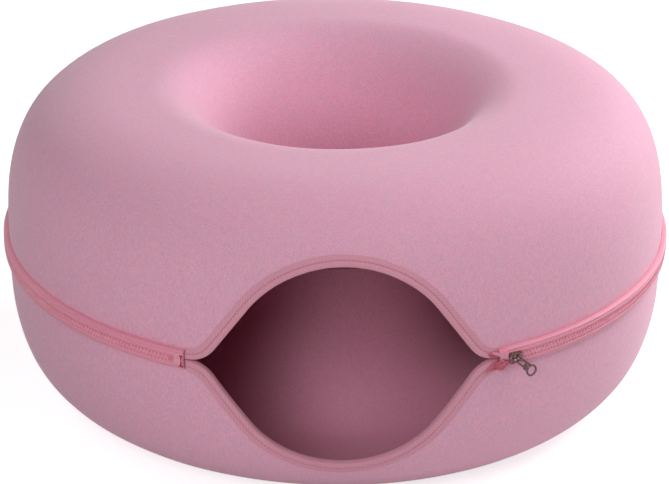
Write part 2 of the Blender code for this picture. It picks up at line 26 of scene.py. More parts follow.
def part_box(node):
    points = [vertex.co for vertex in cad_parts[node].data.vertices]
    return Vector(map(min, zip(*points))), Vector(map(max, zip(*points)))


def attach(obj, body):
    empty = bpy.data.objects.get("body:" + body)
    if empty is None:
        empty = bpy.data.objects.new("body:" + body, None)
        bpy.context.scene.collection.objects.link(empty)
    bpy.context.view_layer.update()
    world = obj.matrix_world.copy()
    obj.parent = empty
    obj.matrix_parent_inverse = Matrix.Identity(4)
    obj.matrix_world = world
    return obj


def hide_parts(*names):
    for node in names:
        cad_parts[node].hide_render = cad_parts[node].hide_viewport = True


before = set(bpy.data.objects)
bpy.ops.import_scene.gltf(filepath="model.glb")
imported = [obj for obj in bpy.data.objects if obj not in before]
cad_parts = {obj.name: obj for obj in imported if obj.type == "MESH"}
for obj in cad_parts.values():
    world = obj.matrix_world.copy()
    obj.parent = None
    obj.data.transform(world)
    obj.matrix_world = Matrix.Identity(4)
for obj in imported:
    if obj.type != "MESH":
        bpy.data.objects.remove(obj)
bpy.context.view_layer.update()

LOG = logging.getLogger("donut_cat_tunnel")
MM = 0.001
INNER_ZIP_GAP = 5 * MM

Outline = Sequence[tuple[float, float]]
Colour = tuple[float, float, float, float]
Laying = Callable[[Vector], Vector]
Mesh = bmesh.types.BMesh
Material = bpy.types.Material
WHITE: Colour = (1.0, 1.0, 1.0, 1.0)


class Half(Enum):
    """The two halves of the tunnel; the value is the side of the joint."""

    TOP = 1
    BOTTOM = -1

    @property
    def body(self) -> str:
        """The name of the body that the half is."""
        return f"{self.name.lower()}_half"

    @property
    def word(self) -> str:
        """How the names of the half's pieces tell it from the other half."""
        return "upper" if self is Half.TOP else "lower"


class Slot(Enum):
    """The record's material slots."""

    FELT = "felt"
    BINDING = "binding_weave"
    TAPE = "zip_tape"
    TEETH = "zip_teeth"
    THREAD = "thread"
    METAL = "gunmetal"


def tone(red: int, green: int, blue: int) -> Colour:
    """Turn a display colour in steps of 0 to 255 into a scene colour.

    Args:
        red: Red as displayed.
        green: Green as displayed.
        blue: Blue as displayed.

    Returns:
        The linear colour, opaque.
    """
    shares = [step / 255 for step in (red, green, blue)]
    linear = [s / 12.92 if s <= 0.04045 else ((s + 0.055) / 1.055) ** 2.4 for s in shares]
    return (*linear, 1.0)


def held(share: float) -> float:
    """Hold a share between 0 and 1."""
    return min(1.0, max(0.0, share))


def eased(share: float) -> float:
    """Rise from 0 to 1 with a soft start and a soft end."""
    return share * share * (3 - 2 * share)


def in_mm(*points: tuple[float, float]) -> Outline:
    """Turn points written in millimetres into metres."""
    return [(x * MM, y * MM) for x, y in points]


def oblong(left: float, right: float, low: float, high: float) -> Outline:
    """The corners of an oblong."""
    return [(left, low), (right, low), (right, high), (left, high)]


class Wire:
    """A node socket that Python's operators work on."""

    def __init__(self, tree: bpy.types.NodeTree, socket: bpy.types.NodeSocket) -> None:
        """Wrap an output socket of a tree."""
        self.tree = tree
        self.socket = socket

    def maths(self, operation: str, *others: "Wire | float", first: "Wire | float | None" = None) -> "Wire":
        """Add a Math node.

        Args:
            operation: The node's operation.
            others: Its inputs after this wire.
            first: An input that goes before this wire.

        Returns:
            The node's result.
        """
        node = self.tree.nodes.new("ShaderNodeMath")
        node.operation = operation
        values = (self, *others) if first is None else (first, self, *others)
        for socket, value in zip(node.inputs, values):
            feed(self.tree, socket, value)
        return Wire(self.tree, node.outputs[0])

    def __add__(self, other: "Wire | float") -> "Wire":
        """Sum."""
        return self.maths("ADD", other)

    def __radd__(self, other: float) -> "Wire":
        """Sum with a number in front."""
        return self.maths("ADD", other)

    def __sub__(self, other: "Wire | float") -> "Wire":
        """Difference."""
        return self.maths("SUBTRACT", other)

    def __rsub__(self, other: float) -> "Wire":
        """A number less this."""
        return self.maths("SUBTRACT", first=other)

    def __mul__(self, other: "Wire | float") -> "Wire":
        """Product."""
        return self.maths("MULTIPLY", other)

    def __truediv__(self, other: "Wire | float") -> "Wire":
        """Quotient."""
        return self.maths("DIVIDE", other)

    def wave(self, length: float) -> "Wire":
        """A sine from 0 to 1 that repeats every so many metres."""
        return (self * (2 * math.pi / length)).maths("SINE") * 0.5 + 0.5

    def size(self) -> "Wire":
        """Value without its sign."""
        return self.maths("ABSOLUTE")

    def ramp(self, low: float, high: float) -> "Wire":
        """Rise smoothly from 0 to 1 between two values.

        Args:
            low: Where the rise starts.
            high: Where it ends.

        Returns:
            The share, held at 0 and 1 outside.
        """
        node = self.tree.nodes.new("ShaderNodeMapRange")
        node.interpolation_type = "SMOOTHSTEP"
        for name, value in (("Value", self), ("From Min", low), ("From Max", high)):
            feed(self.tree, node.inputs[name], value)
        return Wire(self.tree, node.outputs["Result"])


def feed(tree: bpy.types.NodeTree, socket: bpy.types.NodeSocket, value: "Wire | float | Colour") -> None:
    """Give a socket a link or a constant.

    Args:
        tree: The tree that the socket is in.
        socket: The input.
        value: What it gets.
    """
    if isinstance(value, Wire):
        tree.links.new(value.socket, socket)
    else:
        socket.default_value = value


class Dye:
    """A Principled material while its nodes are wired."""

    def __init__(self, name: str, constants: "dict[str, float | Colour]") -> None:
        """Start a material.

        Args:
            name: The material's name.
            constants: Principled inputs that are the same all over.
        """
        self.material = bpy.data.materials.new(name)
        self.material.use_nodes = True
        self.tree = self.material.node_tree
        self.shader = self.tree.nodes["Principled BSDF"]
        for key, value in constants.items():
            self.shader.inputs[key].default_value = value

    def node(self, kind: str, settings: dict | None = None, sockets: dict | None = None,
             output: "int | str" = 0) -> Wire:
        """Add any node.

        Args:
            kind: The node's type.
            settings: Properties that are set first.
            sockets: Values or wires by socket name or number.
            output: Which output to return.

        Returns:
            That output.
        """
        made = self.tree.nodes.new(kind)
        for key, value in (settings or {}).items():
            setattr(made, key, value)
        for key, value in (sockets or {}).items():
            feed(self.tree, made.inputs[key], value)
        return Wire(self.tree, made.outputs[output])

    def place(self) -> Wire:
        """The point on the object, in metres."""
        return self.node("ShaderNodeTexCoord", output="Object")

    def weave(self) -> tuple[Wire, Wire]:
        """Read the piece's UV map.

        Returns:
            The places along and across the cloth, in metres.
        """
        uv = self.node("ShaderNodeUVMap", {"uv_map": "UVMap"})
        parts = self.node("ShaderNodeSeparateXYZ", sockets={0: uv})
        return parts, Wire(self.tree, parts.socket.node.outputs[1])

    def cloud(self, where: Wire, size: float, detail: float = 2.0, swirl: float = 0.0,
              rough: float = 0.5) -> Wire:
        """Soft noise from 0 to 1.

        Args:
            where: The coordinates.
            size: The size of a patch in metres.
            detail: How many finer layers it has.
            swirl: How far the noise bends itself.
            rough: How strong the finer layers are.

        Returns:
            The noise.
        """
        return self.node("ShaderNodeTexNoise", sockets={
            "Vector": where, "Scale": 1 / size, "Detail": detail, "Roughness": rough, "Distortion": swirl})

    def stretched(self, where: Wire, turn: tuple[float, float, float], stretch: float) -> Wire:
        """Coordinates turned, and drawn out along one axis."""
        return self.node("ShaderNodeMapping", sockets={
            "Vector": where, "Rotation": turn, "Scale": (1.0, 1.0, 1 / stretch)})

    def mix(self, share: "Wire | float", first: "Wire | Colour", second: "Wire | Colour",
            blend: str = "MIX") -> Wire:
        """Blend two colours.

        Args:
            share: How much of the second there is.
            first: The colour at 0.
            second: The colour at 1.
            blend: The blend type.

        Returns:
            The blended colour.
        """
        return self.node("ShaderNodeMix", {"data_type": "RGBA", "blend_type": blend},
                         {0: share, 6: first, 7: second}, output=2)

    def relief(self, height: Wire, depth: float, strength: float = 1.0) -> None:
        """Feed a height pattern to the shader's normal.

        Args:
            height: The pattern, from 0 to 1.
            depth: Metres between its low and high places.
            strength: How much of it shows.
        """
        sockets = {"Strength": strength, "Distance": depth, "Height": height}
        self.set("Normal", self.node("ShaderNodeBump", sockets=sockets))

    def set(self, name: str, value: "Wire") -> None:
        """Feed one of the shader's inputs."""
        feed(self.tree, self.shader.inputs[name], value)


@dataclass(frozen=True)
class Felt:
    """Needled polyester felt: matt, mottled, with short curled fibres on its face."""

    name: str = "needled_felt"
    pink: Colour = tone(247, 181, 207)
    lilac: Colour = tone(244, 182, 208)
    rose: Colour = tone(246, 171, 199)
    # Painted shade: a deeper pink for the tunnel's inner face, standing in for the shade and reddened
    # interreflection inside.
    lining_shade: Colour = tone(244, 170, 198)
    mottle: float = 12 * MM
    patch: float = 4.5 * MM
    curl: float = 2.0 * MM
    hair: float = 0.6 * MM
    hair_stretch: float = 7.0
    hair_turns: Sequence[tuple[float, float, float]] = ((0.4, 0.9, 0.2), (1.7, 0.3, 1.1), (2.5, 1.6, 0.5))
    depth: float = 0.35 * MM

    def make(self) -> Material:
        """Wire the material.

        Returns:
            The material.
        """
        dye = Dye(self.name, {"Specular IOR Level": 0.5, "Sheen Weight": 0.3, "Sheen Roughness": 0.5})
        where = dye.place()
        mottle = dye.cloud(where, self.mottle, 3.0).ramp(0.36, 0.64)
        patch = dye.cloud(where, self.patch, 2.0, 0.6).ramp(0.42, 0.72)
        curl = dye.cloud(where, self.curl, 2.0, 2.6)
        drawn = [dye.cloud(dye.stretched(where, turn, self.hair_stretch), self.hair, 1.0, 0.4)
                 for turn in self.hair_turns]
        hair = drawn[0].maths("MAXIMUM", drawn[1]).maths("MAXIMUM", drawn[2])
        ground = dye.mix(mottle, self.pink, self.lilac)
        ground = dye.mix(patch * 0.4, ground, self.rose)
        # Painted shade: points marked as the tunnel's inner face take the deeper inner colour.
        inside = dye.node("ShaderNodeAttribute", {"attribute_name": "lining_shade"}, output="Fac")
        ground = dye.mix(inside, ground, self.lining_shade)
        fibre = (curl.ramp(0.3, 0.7) - 0.5) * 0.17 + (hair.ramp(0.45, 0.75) - 0.5) * 0.16 + 1.0
        grey = dye.node("ShaderNodeCombineColor", sockets={0: fibre, 1: fibre, 2: fibre})
        dye.set("Base Color", dye.mix(1.0, ground, grey, "MULTIPLY"))
        dye.set("Roughness", 0.70 + curl * 0.1)
        dye.relief(curl * 0.5 + hair * 0.5, self.depth, 0.55)
        return dye.material


@dataclass(frozen=True)
class Twill:
    """The binding: woven bias tape with a diagonal twill and a crease at its stitching, with painted light
    and shade on its weave, crease and selvedge.
    """

    name: str = "bias_twill"
    # Painted light and shade: lighter on the twill's ridges, darker in its valleys.
    lit_ridge: Colour = tone(250, 186, 206)
    valley: Colour = tone(216, 134, 156)
    # Painted shade in the crease at the stitching.
    crease: Colour = tone(214, 116, 138)
    # Painted highlight on the raised selvedge of the folded edge.
    selvedge_highlight: Colour = tone(254, 206, 220)
    wale: float = 1.9 * MM
    yarn: float = 1.3 * MM
    crease_shade_width: float = 0.5 * MM
    depth: float = 0.22 * MM

    def make(self, stitched_across: float) -> Material:
        """Wire the material.

        Args:
            stitched_across: Where the stitching presses the cloth in, across it.

        Returns:
            The material.
        """
        dye = Dye(self.name, {"Specular IOR Level": 0.3, "Sheen Weight": 0.1, "Sheen Roughness": 0.5})
        along, across = dye.weave()
        wobble = dye.cloud(dye.place(), 4 * MM, 2.0) * (0.5 * MM)
        wale = (along + across + wobble).wave(self.wale)
        yarn = (along - across * 1.4 + wobble).wave(self.yarn)
        height = wale * 0.6 + yarn * 0.4
        fuzz = dye.cloud(dye.place(), 0.5 * MM, 2.0, 1.0)
        # Painted light and shade: the colour follows the weave's height, with fuzz mixed in, lighter on
        # ridges and darker in valleys.
        mixed = (height * 0.75 + fuzz * 0.5).ramp(0.15, 1.0)
        cloth = dye.mix(mixed, self.valley, self.lit_ridge)
        # Painted highlight: up to about 1.7 mm across the tape, at its raised folded edge, the cloth is
        # lightened towards a near-white pink.
        cloth = dye.mix((1.0 - across.ramp(0.6 * MM, 1.7 * MM)) * 0.5, cloth, self.selvedge_highlight)
        # Painted shade: the cloth darkens within a crease width of the stitching line, where the stitches
        # press it in.
        near = 1.0 - (across - stitched_across).size().ramp(0.0, self.crease_shade_width)
        dye.set("Base Color", dye.mix(near * 0.45, cloth, self.crease))
        dye.set("Roughness", 0.74 + fuzz * 0.16)
        dye.relief(height * 0.8 + fuzz * 0.2, self.depth, 0.7)
        return dye.material


@dataclass(frozen=True)
class RibbedTape:
    """Zip tape: smooth polyester ribs across it and fine cords along it."""

    name: str = "ribbed_tape"
    rib: Colour = tone(249, 164, 188)
    # Painted shade between the ribs.
    shaded_gap: Colour = tone(238, 142, 166)
    stitch: Colour = tone(200, 96, 120)
    # Painted shade in the groove under the teeth.
    bed: Colour = tone(232, 134, 158)
    rib_pitch: float = 1.715 * MM
    cord_pitch: float = 0.9 * MM
    stitch_width: float = 0.45 * MM
    depth: float = 0.14 * MM

    def make(self, sewn_across: float) -> Material:
        """Wire the material.

        Args:
            sewn_across: Where the upper tape is sewn down, across it.

        Returns:
            The material.
        """
        dye = Dye(self.name, {"Specular IOR Level": 0.8, "Sheen Weight": 0.5, "Sheen Roughness": 0.35})
        along, across = dye.weave()
        fuzz = dye.cloud(dye.place(), 0.7 * MM, 2.0, 0.8)
        ribs = (along + fuzz * (0.2 * MM)).wave(self.rib_pitch)
        cords = across.wave(self.cord_pitch)
        height = ribs * 0.65 + cords * 0.35
        # Painted light and shade: this share follows the ribs' height and fuzz, mixing the rib colour with
        # the darker colour between the ribs.
        shade = (height * 0.6 + fuzz * 0.7).ramp(0.2, 1.0)
        near = 1.0 - (across - sewn_across).size().ramp(0.0, self.stitch_width)
        dot = near * (1.0 - ribs).ramp(0.35, 0.75)
        # Painted shade: up to about 3 mm across the tape, in the groove under the teeth, the cloth takes
        # the darker groove colour.
        cloth = dye.mix(across.ramp(2.6 * MM, 3.4 * MM), self.bed, dye.mix(shade, self.shaded_gap, self.rib))
        dye.set("Base Color", dye.mix(dot * 0.75, cloth, self.stitch))
        dye.set("Roughness", 0.48 + fuzz * 0.14)
        dye.relief(height * 0.8 + fuzz * 0.2, self.depth, 0.6)
        return dye.material


@dataclass(frozen=True)
class Moulding:
    """Satin moulded plastic, with the faint unevenness of a small moulding."""

    name: str = "moulded_plastic"
    light: Colour = tone(252, 176, 198)
    dark: Colour = tone(246, 162, 186)

    def make(self) -> Material:
        """Wire the material.

        Returns:
            The material.
        """
        dye = Dye(self.name, {"Coat Roughness": 0.3})
        where = dye.place()
        tint = dye.cloud(where, 6 * MM, 2.0)
        grain = dye.cloud(where, 0.4 * MM, 2.0)
        dye.set("Base Color", dye.mix(tint.ramp(0.3, 0.7), self.dark, self.light))
        dye.set("Roughness", 0.36 + grain * 0.16)
        dye.set("Coat Weight", 0.1 + tint * 0.1)
        dye.relief(grain, 0.05 * MM, 0.5)
        return dye.material


@dataclass(frozen=True)
class SewingThread:
    """Twisted polyester thread: two plies that wind round each other."""

    name: str
    light: Colour
    dark: Colour
    lay: float = 0.9 * MM

    def make(self) -> Material:
        """Wire the material.

        Returns:
            The material.
        """
        dye = Dye(self.name, {"Specular IOR Level": 0.4})
        along, across = dye.weave()
        plies = (along / self.lay + across).wave(1.0)
        fuzz = dye.cloud(dye.place(), 0.5 * MM, 2.0, 1.0)
        dye.set("Base Color", dye.mix((plies * 0.6 + fuzz * 0.6).ramp(0.2, 0.9), self.dark, self.light))
        dye.set("Roughness", 0.6 + fuzz * 0.2)
        dye.relief(plies * 0.7 + fuzz * 0.3, 0.1 * MM, 0.8)
        return dye.material


@dataclass(frozen=True)
class DarkPlate:
    """Dark plated zinc, paler on its rounded edges, as worn plating and as painted highlight."""

    name: str = "dark_plate"
    plate: Colour = tone(128, 88, 88)
    tarnish: Colour = tone(80, 50, 54)
    # Pale colour for worn plating and painted highlight on the edges.
    worn_and_highlight: Colour = tone(236, 206, 208)

    def make(self) -> Material:
        """Wire the material.

        Returns:
            The material.
        """
        dye = Dye(self.name, {})
        where = dye.place()
        tarnish = dye.cloud(where, 1.6 * MM, 3.0)
        scratch = dye.cloud(dye.stretched(where, (0.6, 0.9, 0.3), 18.0), 0.12 * MM, 2.0)
        edge = dye.node("ShaderNodeAttribute", {"attribute_name": "edge_wear_and_highlight"}, output="Fac")
        # Marked edges take the pale colour as painted highlight and worn plating; the scratches add real
        # wear.
        wear_and_highlight = edge * (tarnish.ramp(0.42, 0.66) * 0.40 + 0.06) + scratch.ramp(0.62, 0.8) * 0.12
        metal = dye.mix(tarnish.ramp(0.35, 0.7), self.plate, self.tarnish)
        dye.set("Base Color", dye.mix(wear_and_highlight.ramp(0.1, 0.9), metal, self.worn_and_highlight))
        dye.set("Metallic", 0.9 + tarnish * 0.1)
        dye.set("Roughness", 0.24 + tarnish * 0.14 - wear_and_highlight * 0.06)
        dye.relief(scratch * 0.6 + tarnish * 0.4, 0.03 * MM, 0.6)
        return dye.material


@dataclass(frozen=True)
class Finishes:
    """The finish of each kind of piece, made once and shared."""

    felt: Material
    binding: Material
    tape: Material
    teeth: Material
    seam: Material
    tack: Material
    darning: Material
    metal: Material


@dataclass(frozen=True)
class Flank:
    """A quarter of the felt's section: a superellipse from the joint up to the crest."""

    reach: float
    rise: float
    power: float
    samples: int = 500

    @cached_property
    def table(self) -> np.ndarray:
        """Walk the quarter once, in small steps.

        Returns:
            Rows of distance walked, out, up, tilt and bend.
        """
        angle = np.linspace(0, math.pi / 2, self.samples)
        out = self.reach * np.cos(angle) ** (2 / self.power)
        up = self.rise * np.sin(angle) ** (2 / self.power)
        tilt = np.arctan2((up / self.rise) ** (self.power - 1) / self.rise,
                          (out / self.reach) ** (self.power - 1) / self.reach)
        walked = np.concatenate(([0], np.cumsum(np.hypot(np.diff(out), np.diff(up)))))
        return np.stack((walked, out, up, tilt, walked / walked[-1] + tilt / tilt[-1]))

    def at(self, walked: float) -> tuple[float, float, float]:
        """Out, up and tilt at a distance along the felt from the joint."""
        rows = self.table
        return tuple(float(np.interp(walked, rows[0], row)) for row in rows[1:4])

    def stations(self, first: float, count: int) -> list[float]:
        """Spread places from the joint to the crest, closer where the felt bends.

        Args:
            first: The first place's distance from the joint.
            count: How many steps there are.

        Returns:
            The distances along the felt.
        """
        walked, bend = self.table[0], self.table[4]
        steps = np.linspace(np.interp(first, walked, bend), bend[-1], count + 1)
        return np.interp(steps, bend, walked).tolist()


@dataclass(frozen=True)
class Donut:
    """The felt's outer surface, in the donut's own frame and in the model's."""

    centre: Vector
    radius: float
    half_height: float
    crest_radius: float = 0.172
    crest_flat: float = 0.010
    waist_radius: float = 0.0915
    felt: float = 0.004
    half_joint: float = 0.0005
    entrance_turn: float = math.radians(1.4)
    outer_power: float = 3.08
    inner_power: float = 2.14
    wave: float = 0.0005
    wave_size: float = 0.075
    calm_below: float = 0.018
    calm_above: float = 0.050

    @classmethod
    def measured(cls) -> "Donut":
        """Read the main sizes from the frame's top shell.

        Returns:
            The donut.
        """
        low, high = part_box("top_shell")
        radius = (high.x - low.x) / 2
        return cls(Vector(((low.x + high.x) / 2, high.y - radius, high.z / 2)), radius, high.z / 2)

    @cached_property
    def outer(self) -> Flank:
        """The flank from the joint round the outside."""
        return Flank(self.radius - self.crest_radius - self.crest_flat / 2, self.half_height,
                     self.outer_power)

    @cached_property
    def inner(self) -> Flank:
        """The flank from the joint at the waist of the hole."""
        return Flank(self.crest_radius - self.crest_flat / 2 - self.waist_radius, self.half_height,
                     self.inner_power)

    def swell(self, point: Vector, up: float) -> float:
        """How far the hand-moulded felt stands off its true curve.

        Args:
            point: A point in the donut's own frame.
            up: Its distance from the joint along the felt.

        Returns:
            The height, in metres, which fades out near the zips.
        """
        fade = held((up - self.calm_below) / (self.calm_above - self.calm_below))
        return self.wave * fade * noise.noise(point / self.wave_size)

    def around(self, turn: float, radius: float, up: float) -> Vector:
        """The point of the model at a turn from the front, a radius and a height over the joint."""
        return self.centre + Vector((radius * math.sin(turn), -radius * math.cos(turn), up))

    def lay(self, flat: Vector, half: Half) -> Vector:
        """Lay a flat point on the outer felt.

        Args:
            flat: x along the joint from the middle of the entrance, y up the felt, z off it.
            half: The half that it lies on.

        Returns:
            The point in the model.
        """
        reach, up, tilt = self.outer.at(max(flat.y, 0))
        turn = self.entrance_turn + flat.x / self.radius
        base = self.crest_radius + self.crest_flat / 2 + reach
        foot = Vector((base * math.sin(turn), -base * math.cos(turn), half.value * up))
        off = flat.z + self.swell(foot, flat.y)
        radius = base + off * math.cos(tilt)
        height = up + min(flat.y, 0) + off * math.sin(tilt)
        return self.around(turn, radius, half.value * height)


@dataclass(frozen=True)
class EntranceEdge:
    """One half of the lens-shaped entrance: round at the top, straight, and flared at the corners."""

    height: float
    half_width: float = 0.132
    top_radius: float = 0.098
    foot_radius: float = 0.030
    half_joint: float = 0.0005

    @cached_property
    def shape(self) -> tuple[float, float]:
        """The straight part, which touches the round top and the round foot.

        Returns:
            Its slope and its length.
        """
        rise = self.height - self.half_joint
        both = self.top_radius + self.foot_radius
        reach = math.hypot(self.half_width, both - rise)
        slope = math.asin(both / reach) - math.atan2(both - rise, self.half_width)
        return slope, self.half_width * math.cos(slope) - (both - rise) * math.sin(slope)

    @cached_property
    def half_length(self) -> float:
        """The length of the edge from its middle to a corner."""
        slope, straight = self.shape
        return straight + (self.top_radius + self.foot_radius) * slope

    def dip(self, along: float) -> float:
        """How far the foot stands off the joint, at a place along the joint from the corner."""
        return min(along, 0.0) ** 2 / (2 * self.foot_radius)

    def place(self, walked: float, inset: float) -> tuple[float, float]:
        """Find a point near the edge.

        Args:
            walked: The distance along the edge from its middle, to the right.
            inset: The distance from the edge into the felt.

        Returns:
            The places along the joint and up the felt.
        """
        slope, straight = self.shape
        side, left = math.copysign(1, walked), min(abs(walked), self.half_length)
        lean = min(left / self.top_radius, slope)
        along = self.top_radius * math.sin(lean)
        up = self.height - self.top_radius * (1 - math.cos(lean))
        left -= lean * self.top_radius
        run = min(left, straight)
        along += run * math.cos(slope)
        up -= run * math.sin(slope)
        left -= run
        if left > 0:
            lean = slope - left / self.foot_radius
            along += self.foot_radius * (math.sin(slope) - math.sin(lean))
            up -= self.foot_radius * (math.cos(lean) - math.cos(slope))
        return side * (along + inset * math.sin(lean)), up + inset * math.cos(lean)


def linked(name: str, data: bpy.types.ID) -> bpy.types.Object:
    """Put a mesh, light or camera into the scene.

    Args:
        name: The object's name.
        data: What it shows.

    Returns:
        The object.
    """
    thing = bpy.data.objects.new(name, data)
    bpy.context.scene.collection.objects.link(thing)
    return thing


def as_data(name: str, mesh: Mesh) -> bpy.types.Mesh:
    """Turn a working mesh into mesh data, and free it.

    Args:
        name: The data's name.
        mesh: The working mesh.

    Returns:
        The data.
    """
    data = bpy.data.meshes.new(name)
    mesh.to_mesh(data)
    mesh.free()
    return data


def cloth_marks(mesh: Mesh) -> tuple[bmesh.types.BMLayerItem, bmesh.types.BMLayerItem]:
    """New layers for each point's place along and across the cloth."""
    return mesh.verts.layers.float.new("along"), mesh.verts.layers.float.new("across")


def closed_ring(mesh: Mesh, points: Sequence[Vector]) -> list[bmesh.types.BMEdge]:
    """Join points into a ring of edges."""
    verts = [mesh.verts.new(point) for point in points]
    return [mesh.edges.new(pair) for pair in zip(verts, verts[1:] + verts[:1])]


def strip(section: Outline, start: float, end: float, steps: int) -> Mesh:
    """Draw a closed section out along x, and mark each point's place on the cloth.

    Args:
        section: Points across and off the felt.
        start: Where it starts along x.
        end: Where it ends.
        steps: How many steps it takes.

    Returns:
        The strip, in the flat, with closed ends.
    """
    mesh = bmesh.new()
    along, across = cloth_marks(mesh)
    count = len(section)
    walked = [0.0]
    for (y, z), (next_y, next_z) in zip(section, section[1:]):
        walked.append(walked[-1] + math.hypot(next_y - y, next_z - z))
    bmesh.ops.create_grid(mesh, x_segments=steps, y_segments=count, size=1)
    for vert in mesh.verts:
        number = round((vert.co.y + 1) / 2 * count) % count
        x = start + (end - start) * (vert.co.x + 1) / 2
        vert.co = (x, *section[number])
        vert[along], vert[across] = x, walked[number]
    bmesh.ops.remove_doubles(mesh, verts=mesh.verts, dist=1e-6)
    bmesh.ops.holes_fill(mesh, edges=[edge for edge in mesh.edges if edge.is_boundary], sides=0)
    return mesh


def extruded(mesh: Mesh) -> list[bmesh.types.BMVert]:
    """Extrude every face of a sheet by nothing.

    Args:
        mesh: The sheet.

    Returns:
        The new points, which are still to be moved.
    """
    grown = bmesh.ops.extrude_face_region(mesh, geom=list(mesh.faces))["geom"]
    return [item for item in grown if isinstance(item, bmesh.types.BMVert)]


def plate(outline: Outline, thickness: float, level: float = 0.0, holes: Sequence[Outline] = ()) -> Mesh:
    """Cut a flat plate along the x-y plane.

    Args:
        outline: Its outer edge.
        thickness: How thick it is.
        level: How high its middle lies.
        holes: The edges of holes through it.

    Returns:
        The plate.
    """
    mesh = bmesh.new()
    edges = []
    for loop in (outline, *holes):
        edges += closed_ring(mesh, [Vector((x, y, -thickness / 2)) for x, y in loop])
    if holes:
        bmesh.ops.triangle_fill(mesh, use_beauty=True, edges=edges)
    else:
        bmesh.ops.contextual_create(mesh, geom=edges)
    bmesh.ops.translate(mesh, verts=extruded(mesh), vec=(0, 0, thickness))
    bmesh.ops.recalc_face_normals(mesh, faces=mesh.faces)
    bmesh.ops.translate(mesh, verts=mesh.verts, vec=(0, 0, level))
    return mesh


def round_edges(mesh: Mesh, width: float, segments: int = 2, sharper: float = 40.0) -> None:
    """Round every edge that turns by more than an angle, and mark the rounding for the pale edges: worn
    plating and painted highlight.

    Args:
        mesh: The piece.
        width: How far the rounding reaches.
        segments: How many faces it has.
        sharper: The least turn that is rounded, in degrees.
    """
    wear_and_highlight = mesh.verts.layers.float.get("edge_wear_and_highlight") or mesh.verts.layers.float.new("edge_wear_and_highlight")
    turned = [edge for edge in mesh.edges if edge.calc_face_angle(0) > math.radians(sharper)]
    rounded = bmesh.ops.bevel(mesh, geom=turned, offset=width, offset_type="OFFSET", segments=segments,
                              profile=0.5, affect="EDGES", material=-1, clamp_overlap=True)
    for vert in rounded["verts"]:
        vert[wear_and_highlight] = 1.0


def join(target: Mesh, part: Mesh) -> None:
    """Add one mesh to another.

    Args:
        target: The mesh that grows.
        part: The mesh that is added, and freed.
    """
    data = as_data("part", part)
    target.from_mesh(data)
    bpy.data.meshes.remove(data)


def lay(mesh: Mesh, where: Laying) -> Mesh:
    """Move every point of a flat piece to its place on the donut.

    Args:
        mesh: The piece.
        where: Gives a flat point's place.

    Returns:
        The same mesh.
    """
    for vert in mesh.verts:
        vert.co = where(vert.co)
    return mesh


def finished(mesh: Mesh, modifiers: Sequence[tuple[str, dict]]) -> Mesh:
    """Apply modifiers to a mesh.

    Args:
        mesh: The mesh, which is freed.
        modifiers: Each modifier's type and settings, in order.

    Returns:
        The result.
    """
    data = as_data("work", mesh)
    thing = linked("work", data)
    for kind, settings in modifiers:
        modifier = thing.modifiers.new(kind.lower(), kind)
        for key, value in settings.items():
            setattr(modifier, key, value)
    result = bmesh.new()
    result.from_object(thing, bpy.context.evaluated_depsgraph_get())
    bpy.data.objects.remove(thing)
    bpy.data.meshes.remove(data)
    return result


def in_row(mesh: Mesh, count: int, pitch: float) -> Mesh:
    """Copies of a mesh in a row along x, made by an Array.

    Args:
        mesh: The first one, which is freed.
        count: How many there are.
        pitch: How far apart they are.

    Returns:
        The row.
    """
    return finished(mesh, [("ARRAY", {
        "count": count, "use_relative_offset": False, "use_constant_offset": True,
        "constant_offset_displace": (pitch, 0, 0)})])


def grain(length: float, radius: float, sides: int = 6, rings: int = 6) -> Mesh:
    """One stitch: a short length of thread along x, with rounded ends.

    Args:
        length: From end to end.
        radius: Of the thread.
        sides: Faces round it.
        rings: Faces along it.

    Returns:
        The stitch, with its places along and round the thread.
    """
    mesh = bmesh.new()
    along, across = cloth_marks(mesh)
    bmesh.ops.create_uvsphere(mesh, u_segments=sides, v_segments=rings, radius=1)
    for vert in mesh.verts:
        x, y, z = vert.co
        blunt = math.copysign(abs(z) ** 1.6, z)
        full = min(1.0, (1 - abs(z)) ** 0.35 * 1.15) if abs(z) < 0.999 else 0.0
        wide = full * radius / max(math.hypot(x, y), 0.2)
        vert[across] = math.atan2(y, x) / (2 * math.pi)
        vert.co = (blunt * length / 2, x * wide, y * wide)
        vert[along] = vert.co.x
    return mesh


def write_uv(mesh: Mesh) -> None:
    """Turn the marked places along and across the cloth into a UV map.

    Args:
        mesh: The mesh; one without marks stays as it is.
    """
    layers = mesh.verts.layers.float
    along, across = layers.get("along"), layers.get("across")
    if along is None:
        return
    uv = mesh.loops.layers.uv.new("UVMap")
    for face in mesh.faces:
        for loop in face.loops:
            loop[uv].uv = (loop.vert[along], loop.vert[across])
    layers.remove(layers.get("along"))
    layers.remove(layers.get("across"))


def place_piece(name: str, mesh: Mesh, finish: Material, body: str,
                replaced: Sequence[str] = (), sharp: float = 40.0) -> bpy.types.Object:
    """Turn a mesh into a piece that rides on a body.

    Args:
        name: The piece's name.
        mesh: Its mesh, in place, which is freed.
        finish: Its material.
        body: The body that carries it.
        replaced: The frame's nodes that it stands for.
        sharp: The least turn that stays a sharp edge, in degrees.

    Returns:
        The piece.
    """
    bmesh.ops.recalc_face_normals(mesh, faces=mesh.faces)
    write_uv(mesh)
    data = as_data(name, mesh)
    data.materials.append(finish)
    data.shade_smooth()
    data.set_sharp_from_angle(angle=math.radians(sharp))
    piece = linked(name, data)
    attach(piece, body)
    if replaced:
        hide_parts(*replaced)
    LOG.info("%s: %d faces on %s", name, len(data.polygons), body)
    return piece


